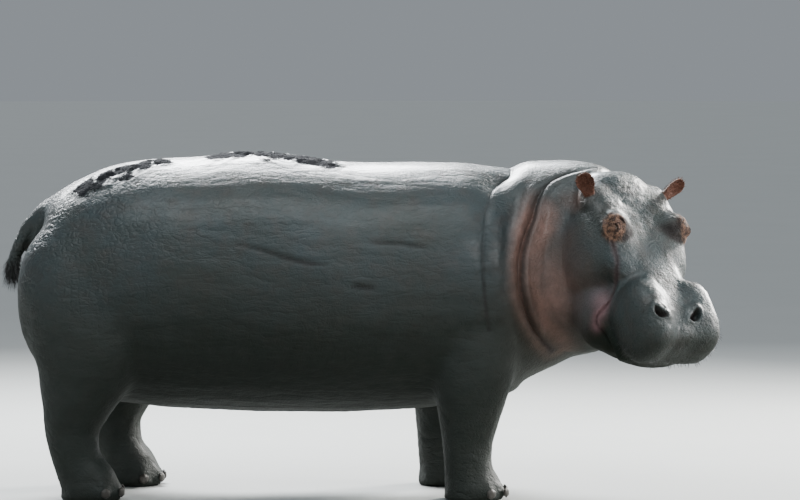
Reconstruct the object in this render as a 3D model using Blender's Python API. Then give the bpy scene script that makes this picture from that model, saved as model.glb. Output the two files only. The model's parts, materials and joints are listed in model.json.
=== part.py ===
"""A standing hippopotamus, life-size, with its head turned to its right and lowered.

Metres, +Z up. The body faces +X, its left side is +Y, and the floor is z = 0. The flesh is
modelled whole from lofts and ellipsoids, then parted into the named nodes by thin cuts.
"""

import math

import bmesh
import bpy
from mathutils import Matrix, Vector

# Overall build
GAP = 0.0003  # left between touching pieces
FIT_GAP = 0.001  # left under ears and nails, whose bed is uneven
EYE_GAP = 0.0006
PLANE_TOLERANCE = 1e-6
FORM_VOXEL = 0.012
RING_SIDES = 36
STATION_STEPS = 5
BLEND_ROUNDS = 14
BLEND_FACTOR = 0.5
BLOB_DETAIL = 4
FLESH_TRIANGLES = 5300
FACE_REACH = (0.40, 0.80)  # distances from the face's middle where its fine triangles fade and end
FACE_MIDDLE = Vector((0.35, 0.0, -0.15))  # in the head's axes
FACE_WEIGHT = 0.97  # how readily the face loses triangles, against 1 on the trunk
BODY_SQUARENESS = 2.25
NECK_SQUARENESS = 2.2
LEG_SQUARENESS = 2.3

# Where the head sits: its origin lies on the brow line between the ears
HEAD_ORIGIN = Vector((0.945, -0.270, 1.274))
HEAD_YAW = math.radians(-58)
HEAD_PITCH = math.radians(52.5)
HEAD_ROLL = math.radians(-6)

# Head landmarks, in the head's own axes: x to the nostrils, y to its left, z off the forehead
EAR_BASE = Vector((0.000, 0.205, -0.010))
EYE_CENTRE = Vector((0.210, 0.185, 0.031))
EYE_RADIUS = 0.021
EYE_SEGMENTS = 14
EYE_RINGS = 8

# Trunk stations: x, top of the back, underside, half-width
TRUNK = (
    (-1.548, 0.99, 0.72, 0.10),
    (-1.525, 1.09, 0.62, 0.20),
    (-1.475, 1.195, 0.51, 0.30),
    (-1.385, 1.285, 0.43, 0.368),
    (-1.250, 1.345, 0.385, 0.412),
    (-1.050, 1.400, 0.365, 0.445),
    (-0.800, 1.415, 0.350, 0.470),
    (-0.550, 1.430, 0.340, 0.484),
    (-0.250, 1.390, 0.340, 0.482),
    (0.050, 1.393, 0.355, 0.462),
    (0.300, 1.390, 0.385, 0.436),
    (0.450, 1.375, 0.430, 0.412),
)
BUTTOCK_CENTRE = (-1.325, 0.182, 0.830)
BUTTOCK_RADII = (0.268, 0.215, 0.345)

# Neck stations: x, y, z of the centre, half-width, half-height
NECK = (
    (0.300, 0.000, 0.890, 0.430, 0.490),
    (0.450, 0.000, 0.930, 0.395, 0.448),
    (0.580, -0.020, 0.970, 0.355, 0.430),
    (0.680, -0.055, 0.988, 0.310, 0.415),
    (0.780, -0.105, 0.996, 0.265, 0.402),
    (0.860, -0.155, 1.000, 0.215, 0.375),
)

# Head envelope stations: x, top, underside, half-width
SKULL = (
    (-0.130, -0.018, -0.360, 0.145),
    (-0.070, 0.020, -0.400, 0.188),
    (0.010, 0.020, -0.420, 0.208),
    (0.100, 0.014, -0.410, 0.208),
    (0.190, 0.012, -0.370, 0.195),
    (0.300, 0.010, -0.340, 0.178),
    (0.400, 0.004, -0.320, 0.165),
    (0.500, 0.006, -0.300, 0.175),
    (0.620, 0.004, -0.280, 0.180),
)
SKULL_SQUARENESS = 2.7
JAW_SQUARENESS = 2.4
# Lower jaw stations: x, top, underside, half-width
JAW = (
    (0.020, -0.200, -0.430, 0.180),
    (0.140, -0.220, -0.460, 0.200),
    (0.280, -0.220, -0.475, 0.190),
    (0.420, -0.200, -0.450, 0.180),
    (0.530, -0.180, -0.392, 0.180),
    (0.620, -0.170, -0.322, 0.170),
    (0.685, -0.150, -0.262, 0.120),
)
# Masses of flesh that come in pairs on the head: centre, radii, squareness
HEAD_PAIRS = {
    "cheek": ((0.165, 0.130, -0.190), (0.190, 0.120, 0.195), 2.3),
    "cheek_bone": ((0.220, 0.115, -0.080), (0.180, 0.105, 0.100), 2.2),
    "jowl": ((0.370, 0.110, -0.300), (0.200, 0.095, 0.140), 2.3),
    "orbit": ((0.178, 0.158, 0.010), (0.074, 0.062, 0.056), 2.0),
    "brow": ((0.090, 0.125, -0.024), (0.150, 0.095, 0.046), 2.0),
    "lip": ((0.586, 0.122, -0.092), (0.172, 0.084, 0.142), 2.8),
    "nostril_mound": ((0.608, 0.086, 0.006), (0.065, 0.052, 0.032), 2.0),
    "ear_root": ((0.000, 0.170, -0.045), (0.070, 0.055, 0.055), 2.0),
}
MUZZLE_CENTRE = (0.600, 0.0, -0.110)
MUZZLE_RADII = (0.142, 0.168, 0.132)
MUZZLE_SQUARENESS = 3.4

# Leg rows: height, forward offset, side offset, fore-and-aft half-size, side half-size
FORE_LEG = (
    (0.900, 0.020, 0.250, 0.200, 0.130),
    (0.700, 0.015, 0.270, 0.200, 0.145),
    (0.520, 0.010, 0.285, 0.172, 0.145),
    (0.360, 0.000, 0.285, 0.135, 0.130),
    (0.230, -0.010, 0.285, 0.110, 0.112),
    (0.120, -0.005, 0.285, 0.106, 0.112),
    (0.055, 0.010, 0.285, 0.124, 0.126),
    (-0.030, 0.015, 0.285, 0.130, 0.130),
)
HIND_LEG = (
    (0.950, -0.010, 0.245, 0.250, 0.150),
    (0.750, 0.000, 0.262, 0.265, 0.165),
    (0.560, -0.010, 0.275, 0.220, 0.160),
    (0.400, -0.050, 0.280, 0.150, 0.135),
    (0.280, -0.070, 0.280, 0.114, 0.112),
    (0.150, -0.045, 0.280, 0.102, 0.106),
    (0.060, 0.000, 0.280, 0.120, 0.118),
    (-0.030, 0.005, 0.280, 0.126, 0.122),
)
FORE_X = {"right": 0.290, "left": 0.190}
HIND_X = {"right": -1.290, "left": -1.150}
SIDES = {"right": -1.0, "left": 1.0}
TOE_ANGLES = (-66, -23, 21, 60)  # degrees round the front of a right foot, from its inner side
TOE_RADII = (0.058, 0.042, 0.045)
TOE_HEIGHT = 0.036
TOE_REACH = 0.72  # share of the foot's half-size
NAIL_RADII = (0.014, 0.026, 0.025)
NAIL_HEIGHT = 0.036
NAIL_SINK = 0.004
NAIL_DETAIL = 1
NAIL_PROBE = 0.2  # how far ahead of a toe the search for its surface starts

# Where the legs are parted: the box behind, in front, at the inside and at the top
FORE_CELL = (-0.230, 0.250, 0.125, 0.500)
HIND_CELL = (-0.500, 0.290, 0.125, 0.560)
CELL_OUTSIDE = 0.75
CELL_BOTTOM = -0.1
NECK_CUT_TOP = Vector((0.360, 0.0, 1.380))
NECK_CUT_LEAN = math.radians(6.6)
HEAD_CUT_POINT = Vector((0.750, -0.070, 0.980))
HEAD_CUT_YAW = math.radians(-35)
HEAD_CUT_LEAN = math.radians(9)

# Tail: x, y, z of the centre, side half-width, thickness half-width
TAIL = (
    (-1.330, 0.000, 1.215, 0.075, 0.060),
    (-1.440, 0.000, 1.200, 0.070, 0.052),
    (-1.530, 0.000, 1.140, 0.056, 0.040),
    (-1.590, -0.005, 1.055, 0.042, 0.033),
    (-1.620, -0.010, 0.985, 0.030, 0.033),
    (-1.628, -0.012, 0.925, 0.026, 0.034),
    (-1.620, -0.012, 0.880, 0.014, 0.020),
)
TAIL_CUT_TOP = Vector((-1.535, 0.000, 1.180))
TAIL_CUT_LEAN = math.radians(20)
TAIL_CELL = ((-0.250, -0.085, -0.450), (0.0, 0.085, 0.0))

# Ears: share of the length from the root, half-width, half-thickness
EAR_ROWS = (
    (-0.35, 0.026, 0.022),
    (0.10, 0.031, 0.022),
    (0.40, 0.041, 0.019),
    (0.70, 0.040, 0.015),
    (0.90, 0.027, 0.011),
    (1.00, 0.010, 0.006),
)
# Each ear's length, the way it points and the way its open side looks, in the head's axes.
# The left one is turned further to the front than the right one.
EAR_POSES = {
    "right": (0.118, Vector((-0.400, -0.620, 0.680)), Vector((0.880, -0.250, 0.100))),
    "left": (0.108, Vector((-0.270, 0.560, 0.760)), Vector((0.930, -0.060, 0.360))),
}
EAR_HOLLOW_SHIFT = 0.014
EAR_HOLLOW_SHARE = 0.68
EAR_SIDES = 12
EAR_STEPS = 1

MATERIALS = {
    "skin": ((0.045, 0.055, 0.062), 0.42),
    "pink_skin": ((0.24, 0.11, 0.075), 0.50),
    "eye": ((0.020, 0.012, 0.008), 0.08),
    "nail": ((0.060, 0.052, 0.042), 0.45),
}


def clear_scene():
    """Removes what a new Blender file starts with."""
    for old in list(bpy.data.objects):
        bpy.data.objects.remove(old)


def material(name):
    """The named material, made at its first use."""
    colour, roughness = MATERIALS[name]
    made = bpy.data.materials.get(name) or bpy.data.materials.new(name)
    made.use_nodes = True
    made.diffuse_color = (*colour, 1.0)
    shader = made.node_tree.nodes["Principled BSDF"]
    shader.inputs["Base Color"].default_value = (*colour, 1.0)
    shader.inputs["Roughness"].default_value = roughness
    shader.inputs["Metallic"].default_value = 0.0
    return made


def mesh_from(form, name):
    """A mesh of the bmesh form, its faces turned outwards; form is freed."""
    bmesh.ops.recalc_face_normals(form, faces=form.faces)
    mesh = bpy.data.meshes.new(name)
    form.to_mesh(mesh)
    form.free()
    return mesh


def new_object(name, mesh, material_name):
    """Links an object of that mesh to the scene, with one of the named materials."""
    made = bpy.data.objects.new(name, mesh)
    bpy.context.scene.collection.objects.link(made)
    made.data.materials.clear()
    made.data.materials.append(material(material_name))
    return made


def head_matrix():
    """The head's own axes in the world: x runs down the face, z out of the forehead."""
    turn = Matrix.Rotation(HEAD_YAW, 4, "Z") @ Matrix.Rotation(HEAD_PITCH, 4, "Y")
    return Matrix.Translation(HEAD_ORIGIN) @ turn @ Matrix.Rotation(HEAD_ROLL, 4, "X")


def curve_through(rows, steps):
    """Catmull-Rom points through rows of numbers, with the given steps between rows."""
    rows = [Vector(row) for row in rows]
    ends = [2 * rows[0] - rows[1], *rows, 2 * rows[-1] - rows[-2]]
    found = []
    for i in range(1, len(ends) - 2):
        before, here, there, after = ends[i - 1 : i + 3]
        for step in range(steps):
            t = step / steps
            a = 2 * here
            b = (there - before) * t
            c = (2 * before - 5 * here + 4 * there - after) * t**2
            d = (3 * here - before - 3 * there + after) * t**3
            found.append((a + b + c + d) / 2)
    found.append(rows[-1])
    return found


def signed_power(value, power):
    return math.copysign(abs(value) ** power, value)


def add_loft(form, rows, up, squareness=2.0, place=None, sides=RING_SIDES, steps=STATION_STEPS):
    """Adds a closed tube to form: rows are centre x, y, z, half-width across, half-size along up."""
    rows = curve_through(rows, steps)
    centres = [Vector(row[:3]) for row in rows]
    rings = []
    for i, row in enumerate(rows):
        tangent = centres[min(i + 1, len(rows) - 1)] - centres[max(i - 1, 0)]
        tangent.normalize()
        rise = (up - up.dot(tangent) * tangent).normalized()
        across = rise.cross(tangent)
        ring = []
        for side in range(sides):
            angle = 2 * math.pi * side / sides
            wide = signed_power(math.cos(angle), 2 / squareness) * row[3]
            high = signed_power(math.sin(angle), 2 / squareness) * row[4]
            point = centres[i] + across * wide + rise * high
            ring.append(form.verts.new(place @ point if place else point))
        rings.append(ring)
    for low, high in zip(rings, rings[1:]):
        for side in range(sides):
            after = (side + 1) % sides
            form.faces.new((low[side], low[after], high[after], high[side]))
    form.faces.new(list(reversed(rings[0])))
    form.faces.new(rings[-1])


def add_blob(form, centre, radii, squareness=2.0, place=None):
    """Adds a closed ellipsoid, boxier as squareness grows."""
    made = bmesh.ops.create_icosphere(form, subdivisions=BLOB_DETAIL, radius=1.0)["verts"]
    for vert in made:
        size = sum(abs(c) ** squareness for c in vert.co) ** (1 / squareness)
        point = Vector(c / size * r for c, r in zip(vert.co, radii)) + Vector(centre)
        vert.co = place @ point if place else point


def standing_rows(table, x):
    """Loft rows of a left leg that stands at x."""
    return [(x + dx, y, z, wide, long) for z, dx, y, long, wide in table]


def mirrored(rows, side):
    """The same loft rows, on the given side of the body."""
    return [(x, y * side, z, wide, long) for x, y, z, wide, long in rows]


def toe_spots(rows, side):
    """Each toe's place inside the foot and its turn, x outwards, for one leg's rows."""
    x, y, _, wide, long = rows[-1]
    spots = []
    for angle in TOE_ANGLES:
        heading = math.radians(angle) * -side
        out = Vector((math.cos(heading) * long, -math.sin(heading) * wide, 0.0))
        turn = Matrix.Rotation(math.atan2(out.y, out.x), 4, "Z")
        spots.append((Vector((x, y, TOE_HEIGHT)) + out * TOE_REACH, turn))
    return spots


def body_rows(table):
    """Loft rows along x from rows of x, top, underside and half-width."""
    return [(x, 0.0, (top + low) / 2, wide, (top - low) / 2) for x, top, low, wide in table]


def flesh_form():
    """The whole animal but its ears, eyes and nails, as overlapping closed shapes."""
    form = bmesh.new()
    up = Vector((0, 0, 1))
    forward = Vector((1, 0, 0))
    add_loft(form, body_rows(TRUNK), up, BODY_SQUARENESS)
    add_loft(form, NECK, up, NECK_SQUARENESS)
    add_loft(form, TAIL, forward)
    for name, side in SIDES.items():
        x, y, z = BUTTOCK_CENTRE
        add_blob(form, (x, y * side, z), BUTTOCK_RADII, BODY_SQUARENESS)
        for rows in (leg_rows("front", name), leg_rows("hind", name)):
            add_loft(form, rows, forward, LEG_SQUARENESS)
            for spot, turn in toe_spots(rows, side):
                add_blob(form, (0, 0, 0), TOE_RADII, place=Matrix.Translation(spot) @ turn)
    place = head_matrix()
    add_loft(form, body_rows(SKULL), up, SKULL_SQUARENESS, place)
    add_loft(form, body_rows(JAW), up, JAW_SQUARENESS, place)
    add_blob(form, MUZZLE_CENTRE, MUZZLE_RADII, MUZZLE_SQUARENESS, place)
    for centre, radii, squareness in HEAD_PAIRS.values():
        for side in SIDES.values():
            x, y, z = centre
            add_blob(form, (x, y * side, z), radii, squareness, place)
    return mesh_from(form, "flesh")


def evaluated_mesh(thing):
    """The mesh of thing with its modifiers applied."""
    graph = bpy.context.evaluated_depsgraph_get()
    return bpy.data.meshes.new_from_object(thing.evaluated_get(graph), depsgraph=graph)


def thinning_weight(point):
    """Low on the face, which keeps small triangles, and 1 on the trunk and legs."""
    near, far = FACE_REACH
    reach = (point - head_matrix() @ FACE_MIDDLE).length
    share = min(1.0, max(0.0, (reach - near) / (far - near)))
    return FACE_WEIGHT + (1.0 - FACE_WEIGHT) * share


def blended_flesh():
    """The form as one smooth skin, thinned to few triangles."""
    thing = new_object("flesh", flesh_form(), "skin")
    remesh = thing.modifiers.new("one_skin", "REMESH")
    remesh.mode = "VOXEL"
    remesh.voxel_size = FORM_VOXEL
    smooth = thing.modifiers.new("blend", "SMOOTH")
    smooth.factor = BLEND_FACTOR
    smooth.iterations = BLEND_ROUNDS
    mesh = evaluated_mesh(thing)
    bpy.data.objects.remove(thing)
    thing = new_object("flesh", mesh, "skin")
    ease = thing.vertex_groups.new(name="ease")
    for vert in mesh.vertices:
        ease.add([vert.index], thinning_weight(vert.co), "REPLACE")
    thin = thing.modifiers.new("thin", "DECIMATE")
    thin.vertex_group = ease.name
    faces = sum(len(face.vertices) - 2 for face in mesh.polygons)
    thin.ratio = FLESH_TRIANGLES / faces
    mesh = evaluated_mesh(thing)
    bpy.data.objects.remove(thing)
    return mesh


def with_boolean(thing, cutter, operation):
    """The mesh of thing after one exact Boolean with cutter; both objects are left in the scene."""
    step = thing.modifiers.new("cut", "BOOLEAN")
    step.operation = operation
    step.solver = "EXACT"
    step.object = cutter
    mesh = evaluated_mesh(thing)
    thing.modifiers.remove(step)
    return mesh


def grown(mesh, distance):
    """A copy of mesh moved outwards by distance."""
    form = bmesh.new()
    form.from_mesh(mesh)
    form.normal_update()
    for vert in form.verts:
        vert.co += vert.normal * distance
    return mesh_from(form, "grown")


def sliced(mesh, point, normal):
    """The two sides of mesh about a plane, GAP apart: (behind the normal, in front of it)."""
    halves = []
    for sign in (-1, 1):
        form = bmesh.new()
        form.from_mesh(mesh)
        geometry = form.verts[:] + form.edges[:] + form.faces[:]
        cut = bmesh.ops.bisect_plane(
            form,
            geom=geometry,
            dist=PLANE_TOLERANCE,
            plane_co=point + sign * normal * GAP / 2,
            plane_no=normal,
            clear_outer=sign < 0,
            clear_inner=sign > 0,
        )
        edges = [item for item in cut["geom_cut"] if isinstance(item, bmesh.types.BMEdge)]
        bmesh.ops.triangle_fill(form, edges=edges, use_beauty=True)
        halves.append(mesh_from(form, "half"))
    return halves


def cell(name, low, high, place=None):
    """A hidden box cutter from one corner to the other."""
    form = bmesh.new()
    bmesh.ops.create_cube(form, size=1.0)
    for vert in form.verts:
        share = vert.co + Vector((0.5, 0.5, 0.5))
        point = Vector(a + s * (b - a) for a, b, s in zip(low, high, share))
        vert.co = place @ point if place else point
    made = new_object(name, mesh_from(form, name), "skin")
    made.hide_render = True
    made.display_type = "WIRE"
    return made


def largest_piece(mesh):
    """Mesh with only its largest connected piece left."""
    form = bmesh.new()
    form.from_mesh(mesh)
    left = set(form.verts)
    pieces = []
    while left:
        piece = {left.pop()}
        front = list(piece)
        while front:
            vert = front.pop()
            for edge in vert.link_edges:
                other = edge.other_vert(vert)
                if other in left:
                    left.discard(other)
                    piece.add(other)
                    front.append(other)
        pieces.append(piece)
    pieces.sort(key=len)
    bmesh.ops.delete(form, geom=[v for piece in pieces[:-1] for v in piece], context="VERTS")
    return mesh_from(form, mesh.name)


def parted(name, flesh, low, high, place=None):
    """Splits flesh with a box: the piece inside becomes the node, and the rest is returned."""
    whole = new_object("whole", flesh, "skin")
    inner = cell("inner", low, high, place)
    edge = Vector((GAP, GAP, GAP))
    outer = cell("outer", Vector(low) - edge, Vector(high) + edge, place)
    inside = largest_piece(with_boolean(whole, inner, "INTERSECT"))
    rest = largest_piece(with_boolean(whole, outer, "DIFFERENCE"))
    for used in (whole, inner, outer):
        bpy.data.objects.remove(used)
    new_object(name, inside, "skin")
    return rest


def ear_form(name, shift, share):
    """One lens-shaped solid of an ear, moved towards its open side and narrowed by share."""
    length, lean, facing = EAR_POSES[name]
    out = lean.normalized()
    facing = (facing - facing.dot(out) * out).normalized()
    root = Vector((EAR_BASE.x, EAR_BASE.y * SIDES[name], EAR_BASE.z)) + facing * shift
    rows = []
    for along, wide, thick in EAR_ROWS:
        centre = root + out * along * length * share
        rows.append((*centre, wide * share, thick))
    form = bmesh.new()
    add_loft(form, rows, facing, place=head_matrix(), sides=EAR_SIDES, steps=EAR_STEPS)
    return mesh_from(form, "ear")


def less(mesh, cutter_mesh):
    """Mesh with cutter_mesh taken away, and only its largest piece kept."""
    thing = new_object("thing", mesh, "skin")
    cutter = new_object("cutter", cutter_mesh, "skin")
    made = largest_piece(with_boolean(thing, cutter, "DIFFERENCE"))
    bpy.data.objects.remove(thing)
    bpy.data.objects.remove(cutter)
    return made


def ball_mesh(centre, radius):
    """A closed ball about centre."""
    form = bmesh.new()
    place = Matrix.Translation(centre)
    bmesh.ops.create_uvsphere(
        form, u_segments=EYE_SEGMENTS, v_segments=EYE_RINGS, radius=radius, matrix=place
    )
    return mesh_from(form, "ball")


def make_ears(head):
    """Cupped ears that stand on the head."""
    clearance = grown(head, FIT_GAP)
    for name in SIDES:
        ear = less(ear_form(name, 0.0, 1.0), ear_form(name, EAR_HOLLOW_SHIFT, EAR_HOLLOW_SHARE))
        new_object("ear_" + name, less(ear, clearance.copy()), "pink_skin")


def make_eyes(head):
    """Eyeballs, and the head with their sockets cut."""
    place = head_matrix()
    for name, side in SIDES.items():
        centre = place @ Vector((EYE_CENTRE.x, EYE_CENTRE.y * side, EYE_CENTRE.z))
        new_object("eye_" + name, ball_mesh(centre, EYE_RADIUS), "eye")
        head = less(head, ball_mesh(centre, EYE_RADIUS + EYE_GAP))
    return head


def make_nails(leg_name, rows, side):
    """Four toenails on the front of one foot."""
    leg = bpy.data.objects[leg_name]
    clearance = grown(leg.data, FIT_GAP)
    for number, (spot, turn) in enumerate(toe_spots(rows, side), start=1):
        ahead = turn @ Vector((1.0, 0.0, 0.0))
        start = Vector((spot.x, spot.y, NAIL_HEIGHT)) + ahead * NAIL_PROBE
        _, hit, _, _ = leg.ray_cast(start, -ahead)
        form = bmesh.new()
        place = Matrix.Translation(hit - ahead * NAIL_SINK) @ turn
        bmesh.ops.create_icosphere(form, subdivisions=NAIL_DETAIL, radius=1.0)
        for vert in form.verts:
            vert.co = place @ Vector(c * r for c, r in zip(vert.co, NAIL_RADII))
        nail = less(mesh_from(form, "nail"), clearance.copy())
        new_object(leg_name.replace("leg", "nail") + f"_{number}", nail, "nail")


def leg_rows(end, name):
    """Loft rows of the front or hind leg on the named side."""
    side = SIDES[name]
    if end == "front":
        return mirrored(standing_rows(FORE_LEG, FORE_X[name]), side)
    return mirrored(standing_rows(HIND_LEG, HIND_X[name]), side)


def part_legs(flesh):
    """Takes the four legs off the flesh and gives each its nails."""
    for end, places, bounds in (("front", FORE_X, FORE_CELL), ("hind", HIND_X, HIND_CELL)):
        behind, ahead, inside, top = bounds
        for name, side in SIDES.items():
            leg_name = f"leg_{end}_{name}"
            walls = sorted((inside * side, CELL_OUTSIDE * side))
            low = (places[name] + behind, walls[0], CELL_BOTTOM)
            high = (places[name] + ahead, walls[1], top)
            flesh = parted(leg_name, flesh, low, high)
            make_nails(leg_name, leg_rows(end, name), side)
    return flesh


def part_tail(flesh):
    """Takes the tail off the flesh, and returns the rest."""
    lean = Matrix.Rotation(TAIL_CUT_LEAN, 4, "Y")
    return parted("tail", flesh, *TAIL_CELL, Matrix.Translation(TAIL_CUT_TOP) @ lean)


def standing_on_floor(mesh):
    """Mesh cut flat at the floor."""
    _, above = sliced(mesh, Vector((0, 0, -GAP / 2)), Vector((0, 0, 1)))
    return above


def centre_on_origin():
    """Moves every mesh so that the origin is below the middle of the whole."""
    things = [thing for thing in bpy.data.objects if not thing.hide_render]
    points = [vert.co for thing in things for vert in thing.data.vertices]
    shift = Matrix.Translation(
        (
            -(min(p.x for p in points) + max(p.x for p in points)) / 2,
            -(min(p.y for p in points) + max(p.y for p in points)) / 2,
            0.0,
        )
    )
    for thing in things:
        thing.data.transform(shift)


def main():
    clear_scene()
    flesh = standing_on_floor(blended_flesh())
    flesh = part_tail(part_legs(flesh))
    forward = Vector((1, 0, 0))
    lean = Matrix.Rotation(-NECK_CUT_LEAN, 3, "Y")
    trunk, front = sliced(flesh, NECK_CUT_TOP, lean @ forward)
    turn = Matrix.Rotation(HEAD_CUT_YAW, 3, "Z") @ Matrix.Rotation(HEAD_CUT_LEAN, 3, "Y")
    neck, head = sliced(front, HEAD_CUT_POINT, turn @ forward)
    new_object("trunk", trunk, "skin")
    new_object("neck", neck, "skin")
    make_ears(head)
    new_object("head", make_eyes(head), "skin")
    centre_on_origin()


main()
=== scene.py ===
# %% [markdown]
# # A standing hippopotamus
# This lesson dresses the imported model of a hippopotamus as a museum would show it: wet slate skin,
# folded neck, heavy muzzle, half-closed eyes, cupped ears and a few stiff bristles.
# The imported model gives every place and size, so it is loaded first and its box is kept.

# %% Load the frame
import json
import math

import bmesh
import bpy
import numpy as np
from mathutils import Matrix, Vector, noise
from mathutils.bvhtree import BVHTree
from mathutils.kdtree import KDTree

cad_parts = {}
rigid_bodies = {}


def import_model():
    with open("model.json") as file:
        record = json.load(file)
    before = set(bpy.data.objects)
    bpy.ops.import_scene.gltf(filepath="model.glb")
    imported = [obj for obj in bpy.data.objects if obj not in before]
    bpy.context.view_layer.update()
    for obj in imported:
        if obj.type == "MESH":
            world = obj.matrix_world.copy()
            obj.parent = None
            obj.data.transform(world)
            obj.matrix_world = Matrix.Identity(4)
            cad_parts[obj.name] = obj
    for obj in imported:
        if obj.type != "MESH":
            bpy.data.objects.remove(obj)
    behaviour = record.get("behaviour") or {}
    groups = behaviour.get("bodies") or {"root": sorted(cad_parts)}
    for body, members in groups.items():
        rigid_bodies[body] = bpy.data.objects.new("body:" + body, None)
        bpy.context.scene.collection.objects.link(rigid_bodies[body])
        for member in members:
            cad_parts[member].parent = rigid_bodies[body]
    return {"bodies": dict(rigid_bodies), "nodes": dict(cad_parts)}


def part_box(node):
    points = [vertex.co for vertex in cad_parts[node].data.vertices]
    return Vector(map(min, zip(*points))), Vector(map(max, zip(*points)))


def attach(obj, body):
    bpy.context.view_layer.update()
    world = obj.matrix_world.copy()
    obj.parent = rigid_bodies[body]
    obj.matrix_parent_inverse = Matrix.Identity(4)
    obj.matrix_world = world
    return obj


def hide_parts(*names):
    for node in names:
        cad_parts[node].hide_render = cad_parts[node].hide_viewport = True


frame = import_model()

for thing in list(bpy.data.objects):
    if thing not in [*frame["nodes"].values(), *frame["bodies"].values()]:
        bpy.data.objects.remove(thing)
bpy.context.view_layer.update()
SIDES = {"right": -1.0, "left": 1.0}

# %% [markdown]
# ## Two sets of axes
# Features of a face are easiest to place in the head's own axes: x runs down the face to the
# nostrils, y to the animal's left and z out of the forehead. The head is turned to the right and
# lowered, so those axes are three turns away from the body's. The two eyeballs say where they
# start. The body's axes only need a shift, to the middle of the trunk at floor level.

# %% Axes of the head and of the body
HEAD_YAW = math.radians(-58)
HEAD_PITCH = math.radians(52.5)
HEAD_ROLL = math.radians(-6)
EYE_ALONG = 0.210
EYE_ASIDE = 0.185
EYE_ABOVE = 0.031
HEAD_IN_BODY = Vector((0.945, -0.270, 1.274))


def middle_of(node):
    low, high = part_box(node)
    return (low + high) / 2


head_turn = Matrix.Rotation(HEAD_YAW, 4, "Z") @ Matrix.Rotation(HEAD_PITCH, 4, "Y")
head_turn = head_turn @ Matrix.Rotation(HEAD_ROLL, 4, "X")
between_eyes = (middle_of("eye_left") + middle_of("eye_right")) / 2
head_origin = between_eyes - head_turn @ Vector((EYE_ALONG, 0.0, EYE_ABOVE))
head_place = Matrix.Translation(head_origin) @ head_turn
body_origin = head_origin - HEAD_IN_BODY
HEAD_AXES = np.array(head_turn.to_3x3())


def in_head(points):
    """Points of the scene, in the head's axes."""
    return (points - np.array(head_origin)) @ HEAD_AXES


def in_body(points):
    """Points of the scene, measured from the floor below the middle of the trunk."""
    return points - np.array(body_origin)


def from_head(x, y, z):
    return head_place @ Vector((x, y, z))


print("head starts at", [round(v, 3) for v in head_origin], "body at", [round(v, 3) for v in body_origin])

# %% [markdown]
# ## Helpers for meshes
# The skin is worked on as arrays of points, because a hundred thousand points are too many to move
# one at a time. These helpers carry points between Blender's meshes and numpy, ease a mesh, and
# measure how far each point is from a line drawn on the animal.

# %% Between meshes and arrays
def vectors_in(items, field):
    """One row of three numbers for each item of a mesh."""
    flat = np.empty(len(items) * 3)
    items.foreach_get(field, flat)
    return flat.reshape(-1, 3)


def points_of(mesh):
    return vectors_in(mesh.vertices, "co")


def normals_of(mesh):
    return vectors_in(mesh.vertex_normals, "vector")


def edges_of(mesh):
    flat = np.empty(len(mesh.edges) * 2, int)
    mesh.edges.foreach_get("vertices", flat)
    return flat.reshape(-1, 2)


def triangles_in(mesh):
    return sum(len(polygon.vertices) - 2 for polygon in mesh.polygons)


def set_points(mesh, points):
    mesh.vertices.foreach_set("co", points.ravel())
    mesh.update()


def mesh_from(form, name):
    """The mesh of a finished bmesh, which is freed."""
    mesh = bpy.data.meshes.new(name)
    form.to_mesh(mesh)
    form.free()
    return mesh


def new_piece(name, mesh):
    made = bpy.data.objects.new(name, mesh)
    bpy.context.scene.collection.objects.link(made)
    return made


def applied(thing):
    """The plain mesh of an object with its modifiers applied; the object is removed."""
    graph = bpy.context.evaluated_depsgraph_get()
    mesh = bpy.data.meshes.new_from_object(thing.evaluated_get(graph), depsgraph=graph)
    bpy.data.objects.remove(thing)
    return mesh


print("mesh helpers are ready")

# %% Soft steps, bells and noise
def unit(way):
    return np.array(way) / np.linalg.norm(way)


def step(value, low, high):
    """0 below low, 1 above high, and a soft rise between; high may be the lower one."""
    share = np.clip((value - low) / (high - low), 0.0, 1.0)
    return share * share * (3.0 - 2.0 * share)


def bell(distance, width):
    return np.exp(-((distance / width) ** 2))


def drift(points, size, seed=0.0):
    """Smooth noise from -1 to 1 whose patches are about as wide as size."""
    return np.array([noise.noise(Vector(p)) for p in points / size + seed])


def fades(along, start, end):
    """1 along the middle of a line, falling to 0 over a share of it at its start and at its end."""
    return step(along, 0.0, start) * step(along, 1.0, 1.0 - end)


print("a bell one width out:", round(float(bell(1.0, 1.0)), 2))

# %% Easing, and distances from a line
def eased(points, edges, rounds, share=0.5):
    """Points moved towards the mean of their neighbours; share may differ from point to point."""
    ends = np.concatenate([edges, edges[:, ::-1]])
    count = np.bincount(ends[:, 0], minlength=len(points))[:, None]
    share = np.broadcast_to(share, len(points))[:, None]
    for _ in range(rounds):
        sums = [np.bincount(ends[:, 0], column[ends[:, 1]], len(points)) for column in points.T]
        points = points + share * (np.stack(sums, axis=1) / np.maximum(count, 1) - points)
    return points


def smooth_path(spots, steps=8):
    """A dense smooth line through a few spots."""
    spots = np.array(spots, float)
    ends = np.vstack([2 * spots[0] - spots[1], spots, 2 * spots[-1] - spots[-2]])
    found = []
    for before, here, there, after in zip(ends, ends[1:], ends[2:], ends[3:]):
        for t in np.arange(steps) / steps:
            cubic = 3 * (here - there) + after - before
            square = 2 * before - 5 * here + 4 * there - after
            found.append((2 * here + (there - before) * t + square * t**2 + cubic * t**3) / 2)
    return np.array([*found, spots[-1]])


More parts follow.
